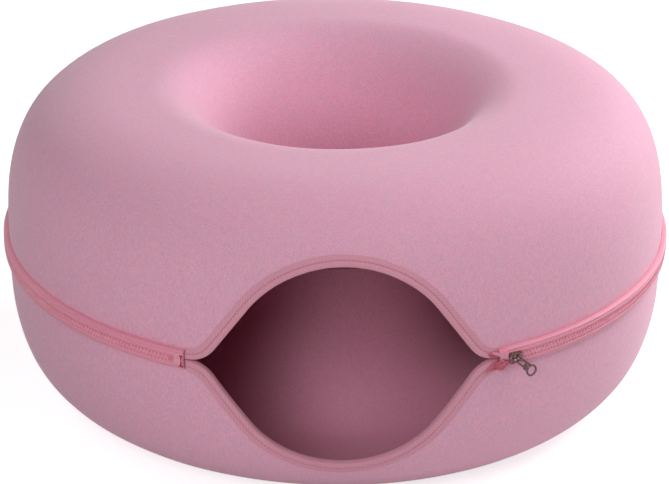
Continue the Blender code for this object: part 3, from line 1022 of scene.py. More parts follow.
@dataclass(frozen=True)
class FeltShell:
    """One moulded felt half ring with its half of the entrance cut out."""

    donut: Donut
    half: Half
    edge: EntranceEdge
    turn_steps: int = 260
    outer_steps: int = 34
    inner_steps: int = 24
    bound_inset: float = 0.0014
    overrun: float = 0.012
    plug_columns: int = 96
    plug_rows: int = 8
    # Points inside this share of the section count as the tunnel's inner face, which gets painted shade.
    lining_shade_share: float = 0.95
    sharp: float = 50.0

    def skin(self) -> Mesh:
        """Turn the felt's outer line about the donut's axis.

        Returns:
            The outer surface, open at the joint.
        """
        donut, side = self.donut, self.half.value
        line = [(donut.crest_radius + donut.crest_flat / 2 + out, up) for out, up, _ in
                map(donut.outer.at, donut.outer.stations(donut.half_joint, self.outer_steps))]
        line += [(donut.crest_radius - donut.crest_flat / 2 - out, up) for out, up, _ in
                 map(donut.inner.at, donut.inner.stations(donut.half_joint, self.inner_steps)[::-1])]
        mesh = bmesh.new()
        verts = [mesh.verts.new((0, -radius, side * up)) for radius, up in line]
        edges = [mesh.edges.new(pair) for pair in zip(verts, verts[1:])]
        bmesh.ops.spin(mesh, geom=edges, cent=(0, 0, 0), axis=(0, 0, 1), angle=2 * math.pi,
                       steps=self.turn_steps, use_merge=True)
        bmesh.ops.recalc_face_normals(mesh, faces=mesh.faces)
        crown = max(mesh.faces, key=lambda face: face.calc_center_median().z * side)
        if crown.normal.z * side < 0:
            bmesh.ops.reverse_faces(mesh, faces=mesh.faces)
        mesh.normal_update()
        for vert in mesh.verts:
            vert.co += vert.normal * donut.swell(vert.co, min(abs(vert.co.z), donut.calm_above))
        bmesh.ops.translate(mesh, verts=mesh.verts, vec=donut.centre)
        return mesh

    def plug(self) -> Mesh:
        """The shape of the entrance, through the wall and beyond it on both sides.

        Returns:
            The plug.
        """
        mesh = bmesh.new()
        bmesh.ops.create_grid(mesh, x_segments=self.plug_columns, y_segments=self.plug_rows, size=1)
        for vert in mesh.verts:
            along, up = self.edge.place(vert.co.x * self.edge.half_length, self.bound_inset)
            vert.co = (along, (up + self.overrun) * (vert.co.y + 1) / 2 - self.overrun, 0)
        far = set(extruded(mesh))
        for vert in mesh.verts:
            vert.co.z = self.overrun if vert in far else -self.donut.felt - self.overrun
        lay(mesh, lambda flat: self.donut.lay(flat, self.half))
        bmesh.ops.recalc_face_normals(mesh, faces=mesh.faces)
        return mesh

    def build(self) -> Mesh:
        """Give the skin its thickness and cut the entrance.

        Returns:
            The shell.
        """
        data = as_data("plug", self.plug())
        plug = linked("plug", data)
        shell = finished(self.skin(), [
            ("SOLIDIFY", {"thickness": self.donut.felt, "offset": -1.0, "use_even_offset": True}),
            ("BOOLEAN", {"operation": "DIFFERENCE", "solver": "EXACT", "object": plug})])
        bpy.data.objects.remove(plug)
        bpy.data.meshes.remove(data)
        self.mark_lining_shade(shell)
        return shell

    def mark_lining_shade(self, shell: Mesh) -> None:
        """Mark the points of the tunnel's inner face, where the same felt gets a deeper colour as painted
        shade.

        Args:
            shell: The shell.
        """
        donut = self.donut
        lining_shade = shell.verts.layers.float.new("lining_shade")
        for vert in shell.verts:
            local = vert.co - donut.centre
            beyond = local.xy.length - donut.crest_radius
            flank = donut.outer if beyond > 0 else donut.inner
            out = max(0.0, abs(beyond) - donut.crest_flat / 2) / flank.reach
            share = out ** flank.power + (abs(local.z) / flank.rise) ** flank.power
            vert[lining_shade] = float(share < self.lining_shade_share)

    def dress(self, finishes: Finishes) -> None:
        """Build the shell and place it.

        Args:
            finishes: The materials.
        """
        name = self.half.name.lower()
        place_piece(f"{name}_felt", self.build(), finishes.felt, self.half.body,
                    [f"{name}_shell"], self.sharp)


@dataclass(frozen=True)
class EntranceBinding:
    """The woven tape folded over one half of the entrance's edge, with its stitching."""

    donut: Donut
    half: Half
    edge: EntranceEdge
    width: float = 0.0105
    stitch_inset: float = 0.0055
    step: float = 0.0018
    thread: float = 0.00032
    stitch_pitch: float = 0.0031
    stitch_length: float = 0.0025
    stitched_across: float = 0.0067
    stitch_height: float = 0.00086
    stitch_dive: float = 0.0010
    stitch_stray: float = 0.00015
    puff: float = 0.00016
    sway: float = 0.00025
    uneven_along: float = 0.012
    uneven_across: float = 0.008
    end_shaded_gap: float = 0.0012
    seed: int = 5

    def section(self) -> Outline:
        """The folded tape's section: places into the felt and off it.

        Returns:
            The closed outline, from the hidden side round the front to the back.
        """
        w, s, back = self.width / MM, self.stitch_inset / MM, -self.donut.felt / MM
        front = ((w - 0.2, -0.05), (w + 0.15, 0.35), (w, 0.85), (w - 0.5, 1.12), (w - 1.1, 1.02),
                 (w - 1.7, 0.98), (w - 3.0, 1.05), (s + 0.7, 1.0), (s + 0.3, 0.82), (s, 0.62),
                 (s - 0.3, 0.82), (s - 0.7, 1.02), (3.4, 1.16), (2.0, 1.18), (1.0, 0.98),
                 (0.35, 0.5), (0.05, -0.3), (-0.05, -1.6))
        rear = ((-0.05, back + 1.2), (0.1, back), (0.5, back - 0.7), (1.3, back - 1.1), (3.2, back - 1.2),
                (s - 0.4, back - 1.0), (s, back - 0.7), (s + 0.4, back - 1.0), (w - 1.0, back - 1.05),
                (w - 0.2, back - 0.9), (w, back - 0.4), (w - 0.3, back + 0.05))
        return in_mm(*front, *rear, (1.2, back + 0.05), (1.2, -0.05))

    def on_felt(self, flat: Vector) -> Vector:
        """Lay a point given along the edge, into the felt and off it."""
        along, up = self.edge.place(flat.x, flat.y)
        return self.donut.lay(Vector((along, up, flat.z)), self.half)

    def tape(self) -> Mesh:
        """Draw the folded tape along the edge, a little uneven as sewn tape is.

        Returns:
            The tape, in place.
        """
        reach = self.edge.half_length
        mesh = strip(self.section(), -reach, reach, round(2 * reach / self.step))
        across = mesh.verts.layers.float.get("across")
        for vert in mesh.verts:
            spot = Vector((vert.co.x / self.uneven_along, vert[across] / self.uneven_across,
                           self.half.value))
            if vert.co.z > -self.donut.felt / 2 and vert.co.y > 0:
                vert.co.z += self.puff * noise.noise(spot) * min(1.0, vert.co.z / MM + 0.2)
                vert.co.y += self.sway * noise.noise(spot * 0.6 + Vector((9, 0, 0)))
        return lay(mesh, self.on_felt)

    def stitching(self) -> Mesh:
        """The row of stitches in the tape's crease.

        Returns:
            The stitches, in place.
        """
        reach = self.edge.half_length - self.end_shaded_gap
        count = int(2 * reach / self.stitch_pitch)
        row = in_row(grain(self.stitch_length, self.thread), count, self.stitch_pitch)
        start = -(count - 1) * self.stitch_pitch / 2
        draw = random.Random(self.seed + self.half.value)
        shifts = [draw.uniform(-self.stitch_stray, self.stitch_stray) for _ in range(count)]
        for vert in row.verts:
            number = min(count - 1, int(vert.co.x / self.stitch_pitch + 0.5))
            part = (vert.co.x - number * self.stitch_pitch) / self.stitch_length
            vert.co.y += self.stitch_inset + shifts[number] * (0.5 + part)
            vert.co.z += self.stitch_height - self.stitch_dive * part * part
            vert.co.x += start
        return lay(row, self.on_felt)

    def dress(self, finishes: Finishes) -> None:
        """Build the tape and its stitches and place them.

        Args:
            finishes: The materials.
        """
        word, body = self.half.word, self.half.body
        place_piece(f"{word}_binding_tape", self.tape(), finishes.binding, body,
                    [f"{word}_entrance_binding"])
        place_piece(f"{word}_binding_stitches", self.stitching(), finishes.seam, body,
                    [f"{word}_binding_thread"])


@dataclass(frozen=True)
class ZipRun:
    """Where a zip lies: round a vertical face of the felt, from its slider end to its pin end."""

    name: str
    donut: Donut
    radius: float
    facing: int
    start: float
    end: float

    @property
    def length(self) -> float:
        """Its length along the felt."""
        return (self.end - self.start) * self.radius

    def lay(self, flat: Vector) -> Vector:
        """Lay a flat point on the felt.

        Args:
            flat: x along the zip, y over the joint, z off the felt.

        Returns:
            The point in the model.
        """
        flank = self.donut.outer if self.facing > 0 else self.donut.inner
        dip = flank.reach - flank.at(abs(flat.y))[0]
        turn = self.start + flat.x / self.radius
        return self.donut.around(turn, self.radius + self.facing * (flat.z - dip), flat.y)

    def stand(self, local: Vector, parked: float) -> Vector:
        """Place a point of a stiff piece that stands on the zip.

        Args:
            local: x along the zip from the piece's middle, y up, z off the felt.
            parked: The piece's place along the zip.

        Returns:
            The point in the model.
        """
        turn = self.start + parked / self.radius
        ahead = Vector((math.cos(turn), math.sin(turn), 0)) * local.x
        return self.donut.around(turn, self.radius + self.facing * local.z, local.y) + ahead


@dataclass(frozen=True)
class Tooth:
    """One moulded tooth: a foot clamped on its tape, a neck, and a head that meshes past the joint."""

    foot_half: float = 0.00095
    neck_half: float = 0.00075
    head_half: float = 0.00080
    outer: float = 0.0015
    waist: float = 0.0007
    head_end: float = 0.0009
    back: float = 0.0034
    face: float = 0.0049
    tip_reach: float = 0.0031
    tip_half: float = 0.00016
    tip_lean: float = 0.00060
    tip_face: float = 0.0042
    rounding: float = 0.00022

    def build(self, side: int) -> Mesh:
        """Model the tooth of one side in the flat.

        Args:
            side: +1 for the upper row and -1 for the lower one.

        Returns:
            The tooth, at x = 0.
        """
        half = [(self.foot_half, self.outer), (self.neck_half, self.waist), (self.head_half, 0.0),
                (self.head_half, -self.head_end / 2), (self.head_half / 2, -self.head_end)]
        tip = [(self.tip_lean - self.tip_half, self.tip_reach),
               (self.tip_lean + self.tip_half, self.tip_reach)]
        outline = tip + half + [(-x, y) for x, y in half[::-1]]
        mesh = plate([(x, side * y) for x, y in outline], self.face - self.back,
                     (self.face + self.back) / 2)
        for vert in mesh.verts:
            if vert.co.z > self.tip_face and abs(vert.co.y) > (self.outer + self.tip_reach) / 2:
                vert.co.z = self.tip_face
        rim = [edge for edge in mesh.edges if all(vert.co.z >= self.tip_face for vert in edge.verts)
               and edge.calc_face_angle(0) > math.radians(40)]
        bmesh.ops.bevel(mesh, geom=rim, offset=self.rounding, segments=1, profile=0.5, affect="EDGES",
                        material=-1, clamp_overlap=True)
        return mesh


@dataclass(frozen=True)
class ZipFastener:
    """A zip's two tapes, two rows of teeth, stops, pin and box, and its upper tape's folded end."""

    run: ZipRun
    tooth: Tooth = Tooth()
    pitch: float = 0.00343
    lead: float = 0.45
    stop_length: float = 0.0032
    stop_inset: float = 0.0010
    pin_length: float = 0.0075
    pin_inset: float = 0.0020
    end_shaded_gap: float = 0.0005
    tack_room: float = 0.0004
    dimple: float = 0.0003
    dimple_low: float = 0.0025
    dimple_high: float = 0.0032
    dimple_over: float = 0.0033
    firm: float = 0.0050
    upper_loose: float = 0.0044
    lower_loose: float = 0.0028
    taper: float = 0.0024
    taper_length: float = 0.0160
    flare: float = 0.0042
    flare_length: float = 0.0110
    tail_length: float = 0.0055
    tail_over: float = 0.0072
    tail_edge: float = 0.0096
    tail_tip: float = 0.0014
    tail_growth: float = 0.0072
    tail_low: float = 0.0016
    tail_rise: float = 0.0029
    tail_steepness: float = 2.2
    tail_steps: int = 36
    folded_end: bool = False

    def upper_section(self) -> Outline:
        """The upper tape: a cord beside the teeth, a sewn band, and its edge turned down to the felt.

        Returns:
            The closed outline, across and off the felt.
        """
        return in_mm(
            (0.15, 3.95), (0.9, 4.0), (3.0, 4.05), (3.45, 3.8), (3.9, 4.05), (4.4, 4.6), (5.0, 4.88),
            (5.5, 4.9), (6.1, 4.65), (6.6, 4.25), (7.0, 4.5), (7.7, 4.85), (8.4, 4.8), (8.9, 4.4),
            (9.2, 3.6), (9.4, 1.9), (9.4, 0.7), (9.3, 0.15), (8.8, 0.2), (8.2, 2.6), (7.5, 3.1),
            (0.15, 2.9))

    def sewn_across(self) -> float:
        """How far across the upper tape its line of stitching is."""
        points = self.upper_section()[:10]
        return sum(math.dist(*pair) for pair in zip(points, points[1:]))

    def lower_section(self) -> Outline:
        """The lower tape: a groove beside the teeth and a rolled edge down to the felt.

        Returns:
            The closed outline, across and off the felt.
        """
        return in_mm(
            (-0.15, 3.95), (-0.9, 4.0), (-2.6, 4.05), (-3.0, 3.85), (-3.5, 4.3), (-4.3, 4.55), (-5.1, 4.4),
            (-5.6, 3.9), (-6.1, 4.05), (-6.9, 3.9), (-7.6, 3.1), (-8.0, 2.0), (-8.1, 0.9), (-7.9, 0.15),
            (-7.3, 0.3), (-6.8, 2.2), (-6.2, 2.8), (-0.15, 2.9))

    def tape(self, half: Half) -> Mesh:
        """One woven tape; the upper one has a dimple between each pair of teeth.

        At a folded end the upper tape draws in and the lower one spreads, outside
        the firm part beside the teeth.

        Args:
            half: The half that the tape is sewn to.

        Returns:
            The tape, in place.
        """
        section = self.upper_section() if half is Half.TOP else self.lower_section()
        start, end = self.end_shaded_gap, self.run.length - self.end_shaded_gap - self.tack_room
        mesh = strip(section, start, end, round((end - start) / (self.pitch / 4)))
        for vert in mesh.verts:
            x, y, z = vert.co
            if self.dimple_low < y < self.dimple_high and z > self.dimple_over:
                vert.co.z -= self.dimple * (1 - math.cos(2 * math.pi * self.phase(x, half))) / 2
            if self.folded_end and y > self.firm:
                vert.co.y -= self.narrowed(x) * (y - self.firm) / self.upper_loose
            if self.folded_end and y < -self.firm:
                share = held(1 - x / self.flare_length) ** 2
                vert.co.y -= self.flare * share * (-y - self.firm) / self.lower_loose
        return lay(mesh, self.run.lay)

    def narrowed(self, along: float) -> float:
        """How far the upper tape's edge draws in towards its folded end."""
        return self.taper * held(1 - along / self.taper_length) ** 2

    def tail(self) -> Mesh:
        """The upper tape's end, folded over the stop and tapering out over the binding.

        Returns:
            The tail, in place.
        """
        section = [(share, high * MM) for share, high in (
            (0.0, 0.0), (0.02, 0.8), (0.10, 1.15), (0.30, 1.1), (0.55, 1.0), (0.80, 1.1), (0.94, 1.1),
            (1.0, 0.6), (1.0, 0.0))]
        mesh = strip(section, -self.tail_length, self.tail_over, self.tail_steps)
        for vert in mesh.verts:
            over = held((vert.co.x + self.tail_length) / (self.tail_length + self.tail_over))
            width = self.tail_tip + self.tail_growth * eased(over)
            lift = self.tail_low + self.tail_rise * min(1.0, over * self.tail_steepness)
            vert.co.z = vert.co.z * (1 + over) / 2 + lift
            vert.co.y = self.tail_edge - self.narrowed(vert.co.x) - width * vert.co.y
        return lay(mesh, self.run.lay)

    def phase(self, along: float, half: Half) -> float:
        """How many pitches a place lies past the first tooth of a row."""
        return (along - self.teeth_start(half)) / self.pitch

    def teeth_start(self, half: Half) -> float:
        """Where the middle of a row's first tooth is; the rows are half a pitch apart."""
        return self.stop_inset + self.stop_length + (self.lead + 0.5 - half.value / 4) * self.pitch

    def teeth(self, half: Half) -> Mesh:
        """One row of teeth.

        Args:
            half: The half that the row moves with.

        Returns:
            The row, in place.
        """
        first = self.teeth_start(half)
        last = self.run.length - self.pin_inset - self.pin_length - self.tooth.foot_half
        row = in_row(self.tooth.build(half.value), int((last - first) / self.pitch), self.pitch)
        bmesh.ops.translate(row, verts=row.verts, vec=(first, 0, 0))
        return lay(row, self.run.lay)

    def block(self, start: float, length: float, low: float, high: float, back: float,
              face: float) -> Mesh:
        """A small rounded moulding on the chain; its section is in millimetres.

        Args:
            start: Where it starts along the zip, in metres.
            length: Its length, in metres.
            low: Its lower edge, over the joint.
            high: Its upper edge.
            back: Its back, off the felt.
            face: Its face, off the felt.

        Returns:
            The moulding, in place.
        """
        mesh = plate(oblong(start, start + length, low * MM, high * MM), (face - back) * MM,
                     (face + back) / 2 * MM)
        round_edges(mesh, 0.3 * MM, 3)
        return lay(mesh, self.run.lay)

    def stops(self, finishes: Finishes) -> None:
        """Place the stops at the slider end, and the pin and its box at the other end.

        Args:
            finishes: The materials.
        """
        near = self.stop_inset, self.stop_length
        far = self.run.length - self.pin_inset - self.pin_length, self.pin_length
        made = (
            (Half.TOP, near, "upper_stop", "upper_top_stop", ((0.9, 3.7, 2.7, 4.7),)),
            (Half.BOTTOM, near, "lower_stop", "lower_top_stop", ((-3.7, -0.9, 2.7, 4.7),)),
            (Half.BOTTOM, far, "retainer_box", "box",
             ((-3.7, 2.0, 4.55, 5.0), (-3.7, 2.0, 2.6, 3.05), (-3.7, -0.8, 2.65, 4.9))),
            (Half.TOP, far, "insertion_pin", "pin", ((-0.5, 3.7, 3.4, 4.2), (2.3, 4.4, 3.0, 4.9))))
        for half, (start, length), word, replaced, sizes in made:
            mesh = bmesh.new()
            for size in sizes:
                join(mesh, self.block(start, length, *size))
            place_piece(f"{self.run.name}_{word}", mesh, finishes.teeth, half.body,
                        [f"{self.run.name}_{replaced}"])

    def dress(self, finishes: Finishes) -> None:
        """Build the zip and place its pieces.

        Args:
            finishes: The materials.
        """
        for half in Half:
            name = f"{self.run.name}_{half.word}"
            place_piece(f"{name}_woven_tape", self.tape(half), finishes.tape, half.body,
                        [f"{name}_tape"])
            place_piece(f"{name}_teeth_row", self.teeth(half), finishes.teeth, half.body,
                        [f"{name}_teeth"])
        self.stops(finishes)
        if self.folded_end:
            place_piece(f"{self.run.name}_tape_tail", self.tail(), finishes.tape, Half.TOP.body)


@dataclass(frozen=True)
class ZipSlider:
    """A slider parked on a zip: body, crown, lock spring and pull tab."""

    run: ZipRun
    word: str
    parked: float = 0.0140
    length: float = 0.0124
    face: float = 0.0054
    rear: float = 0.0022
    sheet: float = 0.0010
    inlet: float = 0.0001
    leaf: float = 0.0003
    shoulder: float = 0.0052
    tail: float = 0.0045
    back_half: float = 0.0048
    flange: float = 0.0008
    crown_base: float = 0.0067
    crown_height: float = 0.0030
    crown_half: float = 0.0008
    crown_start: float = -0.0036
    crown_tip: float = 0.0016
    crown_strap: float = 0.0008
    # Painted highlight share for the crown's top.
    crown_highlight: float = 2.4
    pivot: float = 0.00795
    droop: float = math.radians(45.0)
    twist: float = math.radians(-5.0)
    tab_sheet: float = 0.0011
    tab_half: float = 0.0030
    tab_bar: float = 0.0005
    eye: float = 0.0026
    eye_half: float = 0.00230
    web: float = 0.0009
    window: float = 0.0066
    window_half: float = 0.00150
    neck_half: float = 0.0037
    ring_centre: float = 0.0206
    ring_radius: float = 0.0052
    ring_hole: float = 0.0037
    ring_steps: int = 22
    hole_steps: int = 32
    corner: float = 0.0005
    sharp: float = 30.0

    def curved(self, local: Vector) -> Vector:
        """Lay a point of the body, which bends with the zip."""
        return self.run.lay(Vector((self.parked + local.x, local.y, local.z)))

    def stiff(self, local: Vector) -> Vector:
        """Place a point of a piece that stays straight."""
        return self.run.stand(local, self.parked)

    def cover(self, shoulder: float, tail: float, outward: int, level: float) -> Mesh:
        """One plate of the body with the flange down each side of its channel.

        Args:
            shoulder: Half its width at the mouth.
            tail: Half its width at the other end.
            outward: +1 for the front plate and -1 for the back one.
            level: The height of its channel face off the felt.

        Returns:
            The plate, in the flat.
        """
        end = self.length / 2
        half = [(-end, shoulder * 0.62), (-end * 0.92, shoulder * 0.86), (-end * 0.72, shoulder),
                (-end * 0.25, shoulder), (end * 0.2, tail), (end * 0.75, tail), (end * 0.94, tail * 0.86),
                (end, tail * 0.6)]
        mesh = plate(half + [(x, -y) for x, y in half[::-1]], self.sheet, level + outward * self.sheet / 2)
        round_edges(mesh, 0.3 * MM, 2)
        for side in (1, -1):
            wall = [(x, side * (y - self.inlet)) for x, y in half[2:6]]
            wall += [(x, side * (y - self.flange)) for x, y in half[2:6][::-1]]
            rib = plate(wall, self.flange, level - outward * (self.flange / 2 - self.inlet))
            round_edges(rib, 0.15 * MM, 2)
            join(mesh, rib)
        return mesh

    def body(self) -> Mesh:
        """The casting round the chain: two plates and the wedge that joins them at the mouth.

        Returns:
            The body, in place.
        """
        mesh = self.cover(self.shoulder, self.tail, 1, self.face)
        join(mesh, self.cover(self.back_half, self.back_half, -1, self.rear))
        front = -self.length / 2
        wedge = plate([(front + x, y) for x, y in in_mm((0.4, 0.5), (4.6, 0.2), (4.6, -0.2), (0.4, -0.5))],
                      self.face - self.rear + self.sheet, (self.face + self.rear) / 2)
        join(mesh, wedge)
        seat = plate(in_mm((-4.2, 1.7), (2.2, 1.7), (2.9, 0), (2.2, -1.7), (-4.2, -1.7)), self.leaf,
                     self.face + self.sheet + self.inlet)
        round_edges(seat, 0.1 * MM, 2)
        join(mesh, seat)
        return lay(mesh, self.curved)

    def crown(self) -> Mesh:
        """The strap that stands on the body and hooks over the pull's bar.

        Returns:
            The crown, in place.
        """
        top = self.crown_base + self.crown_height
        roof = top - self.crown_strap
        inside = self.crown_start + self.crown_strap
        side = [(self.crown_start, self.crown_base), (self.crown_start, roof - 0.4 * MM),
                (self.crown_start + 0.35 * MM, top - 0.3 * MM), (self.crown_start + 1.1 * MM, top),
                (self.crown_tip - 0.9 * MM, top), (self.crown_tip - 0.2 * MM, top - 0.3 * MM),
                (self.crown_tip, roof - 0.05 * MM), (self.crown_tip - 0.35 * MM, roof),
                (inside + 0.5 * MM, roof), (inside, roof - 0.4 * MM), (inside, self.crown_base)]
        mesh = plate(side, 2 * self.crown_half)
        round_edges(mesh, 0.22 * MM, 2)
        wear_and_highlight = mesh.verts.layers.float.get("edge_wear_and_highlight")
        # Painted highlight: the strap's top is marked past full, so it shows the plate's pale colour.
        for vert in mesh.verts:
            if vert.co.y > roof:
                vert[wear_and_highlight] = self.crown_highlight
        return lay(mesh, lambda flat: self.stiff(Vector((flat.x, flat.z, flat.y))))

    def spring(self) -> Mesh:
        """The leaf on the body that locks the chain.

        Returns:
            The spring, in place.
        """
        start = self.crown_start + self.crown_strap + 0.3 * MM
        leaf = plate(oblong(start, self.crown_tip, -0.6 * MM, 0.6 * MM), self.leaf,
                     self.crown_base + self.leaf / 2)
        round_edges(leaf, 0.08 * MM, 1)
        return lay(leaf, self.stiff)

    def arc(self, radius: float, angles: Sequence[float]) -> Outline:
        """Points round the middle of the pull's ring."""
        return [(self.ring_centre + radius * math.cos(angle), radius * math.sin(angle)) for angle in angles]

    def tab(self) -> Mesh:
        """The pull: an eye round the crown's strap, a window, a plain bridge and a round ring.

        Returns:
            The pull, in place.
        """
        eye_end = self.tab_bar + self.eye
        end = eye_end + self.web + self.window
        lead = math.asin(self.neck_half / self.ring_radius)
        half = [(-self.tab_bar, self.tab_half - 0.5 * MM),
                (-self.tab_bar + 0.2 * MM, self.tab_half - 0.15 * MM), (0.3 * MM, self.tab_half),
                (end - 0.6 * MM, self.tab_half), (end + 0.3 * MM, self.tab_half),
                (end + 2.2 * MM, self.neck_half)]
        half += self.arc(self.ring_radius, [(math.pi - lead) * (1 - i / self.ring_steps)
                                            for i in range(self.ring_steps + 1)])
        outline = half + [(x, -y) for x, y in half[-2::-1]]
        cut = self.corner
        holes = [[(low, wide - cut), (low + cut, wide), (high - cut, wide), (high, wide - cut),
                  (high, cut - wide), (high - cut, -wide), (low + cut, -wide), (low, cut - wide)]
                 for low, high, wide in ((self.tab_bar, eye_end, self.eye_half),
                                         (eye_end + self.web, end, self.window_half))]
        ring = self.arc(self.ring_hole, [2 * math.pi * i / self.hole_steps for i in range(self.hole_steps)])
        mesh = plate(outline, self.tab_sheet, holes=[*holes, ring])
        round_edges(mesh, 0.28 * MM, 3, 55.0)
        drop = Matrix.Rotation(-self.droop, 3, "Z") @ Matrix.Rotation(self.twist, 3, "X")
        return lay(mesh, lambda flat: self.stiff(drop @ flat + Vector((0, 0, self.pivot))))

    def dress(self, finishes: Finishes) -> None:
        """Build the slider and place its pieces.

        Args:
            finishes: The materials.
        """
        slider, node = f"{self.word}_slider", self.run.name
        made = (("body_casting", self.body(), slider, f"{node}_slider_body"),
                ("crown_strap", self.crown(), slider, f"{node}_slider_crown"),
                ("lock_leaf", self.spring(), slider, f"{node}_slider_spring"),
                ("pull", self.tab(), f"{self.word}_pull", f"{node}_pull_tab"))
        for part, mesh, body, replaced in made:
            place_piece(f"{node}_{part}", mesh, finishes.metal, body, [replaced], self.sharp)


@dataclass(frozen=True)
class Darning:
    """How one half's darning lies, in millimetres from the right corner.

    The thickness is a share of the thread's.
    """

    count: int
    red_start: float
    pink_start: float
    end: float
    deep: float
    lean: float
    thickness: float


@dataclass(frozen=True)
class CornerThreads:
    """The hand-sewn tack at the left corner and the darning at the right one."""

    donut: Donut
    run: ZipRun
    edges: dict[Half, EntranceEdge]
    thread: float = 0.0003
    tack_base: float = 0.0052
    tack_inset: float = 0.0026
    tack_top: float = 0.0048
    tack_foot: float = 0.0040
    tack_count: int = 3
    tack_shaded_gap: float = 0.00025
    tack_share: float = 0.8
    knot_count: int = 8
    knot_share: float = 1.5
    knot_rise: float = 0.6
    foot_spread: float = 1.5
    patch_inset: float = 0.0009
    patch_lift: float = 0.0002
    bed_low: float = 0.00145
    bed_rise: float = 0.00385
    bed_start: float = -0.0025
    bed_run: float = 0.0030
    upper: Darning = Darning(
        count=5, red_start=-9.0, pink_start=-9.0, end=-2.5, deep=6.2, lean=3.4, thickness=1.0)
    lower: Darning = Darning(
        count=17, red_start=-6.0, pink_start=-10.0, end=6.5, deep=9.5, lean=8.0, thickness=1.35)
    sharp: float = 60.0
    seed: int = 11

    def strand(self, first: Vector, last: Vector, lift: float, radius: float) -> Mesh:
        """One visible length of thread between two flat points.

        Args:
            first: Where it starts.
            last: Where it ends.
            lift: How far its middle stands over its ends.
            radius: Of the thread.

        Returns:
            The strand, in the flat.
        """
        run = last - first
        mesh = grain(run.length, radius, 8, 10)
        heading = math.atan2(run.y, run.x)
        turned = Matrix.Rotation(heading, 3, "Z")
        for vert in mesh.verts:
            part = 2 * vert.co.x / run.length
            vert.co = turned @ vert.co + (first + last) / 2 + Vector((0, 0, lift * (1 - part * part)))
        return mesh

    def tack(self, half: Half) -> Mesh:
        """Half of the left tack: strands side by side and a knot at their end, wider on the lower half.

        Args:
            half: The half that it is sewn to.

        Returns:
            The threads, in place.
        """
        draw = random.Random(self.seed + half.value)
        middle = self.run.length - self.tack_inset
        reach, spread = (self.tack_top, 1.0) if half is Half.TOP else (self.tack_foot, self.foot_spread)
        mesh = bmesh.new()
        for number in range(self.tack_count):
            x = middle + (number - (self.tack_count - 1) / 2) * self.tack_shaded_gap
            first = Vector((x + draw.uniform(-0.1, 0.1) * MM, half.value * 0.02 * MM, self.tack_base))
            last = Vector((x + draw.uniform(-0.2, 0.2) * MM, half.value * reach, self.tack_base))
            join(mesh, self.strand(first, last, self.tack_shaded_gap, self.thread * self.tack_share))
        for number in range(self.knot_count):
            angle = math.pi * number / self.knot_count + draw.uniform(-0.2, 0.2)
            arm = Vector((math.cos(angle) * spread, math.sin(angle) * self.knot_rise, 0))
            arm *= draw.uniform(1.3, 1.7) * MM
            drop = half.value * (reach + abs(arm.x) * 0.35 * (spread - 1))
            spot = Vector((middle, drop, self.tack_base - 0.05 * MM))
            lift = draw.uniform(0.3, 0.6) * MM
            join(mesh, self.strand(spot - arm, spot + arm, lift, self.thread * self.knot_share))
        return lay(mesh, self.run.lay)

    def bed(self, along: float) -> float:
        """How high the stitches lie off the felt: on the binding, and over the end of the zip's tape."""
        return self.bed_low + self.bed_rise * eased(held((along - self.bed_start) / self.bed_run))

    def patch(self, half: Half, shade: int) -> Mesh:
        """The slanting stitches that fasten an end of the binding at the right corner.

        Args:
            half: The half that they are sewn to.
            shade: 0 for the red strands and 1 for the pink ones between them.

        Returns:
            The threads, in place.
        """
        draw = random.Random(self.seed * 3 + half.value + 10 * shade)
        plan = self.upper if half is Half.TOP else self.lower
        start = plan.pink_start if shade else plan.red_start
        edge = self.edges[half]
        mesh = bmesh.new()
        for number in range(plan.count):
            share = (number + 0.3 + 0.5 * shade) / plan.count
            x = start + (plan.end - start) * share + draw.uniform(-0.15, 0.15)
            far, near = (x - plan.lean / 2) * MM, (x + plan.lean / 2) * MM
            reach = (plan.deep - draw.uniform(0, 1.5)) * MM
            first = Vector((edge.half_width + far, edge.dip(far) + reach, draw.uniform(0, 0.2) * MM))
            last = Vector((edge.half_width + near, edge.dip(near) + self.patch_inset, 0))
            join(mesh, self.strand(first, last, self.patch_lift, self.thread * plan.thickness))
        for vert in mesh.verts:
            vert.co.z += self.bed(vert.co.x - edge.half_width)
        return lay(mesh, lambda flat: self.donut.lay(flat, half))

    def dress(self, finishes: Finishes) -> None:
        """Build the threads and place them.

        Args:
            finishes: The materials.
        """
        for half in Half:
            made = (("left_corner_threads", self.tack(half), finishes.tack, "left_corner_tack"),
                    ("right_corner_red_threads", self.patch(half, 0), finishes.darning,
                     "right_corner_stitching"),
                    ("right_corner_pink_threads", self.patch(half, 1), finishes.seam, ""))
            for name, mesh, finish, replaced in made:
                place_piece(f"{name}_{half.word}", mesh, finish, half.body,
                            [f"{replaced}_{half.word}"] if replaced else (), self.sharp)


@dataclass(frozen=True)
class Lamp:
    """A soft box that faces the donut."""

    name: str
    azimuth: float
    elevation: float
    power: float
    size: float = 0.9
    distance: float = 1.9


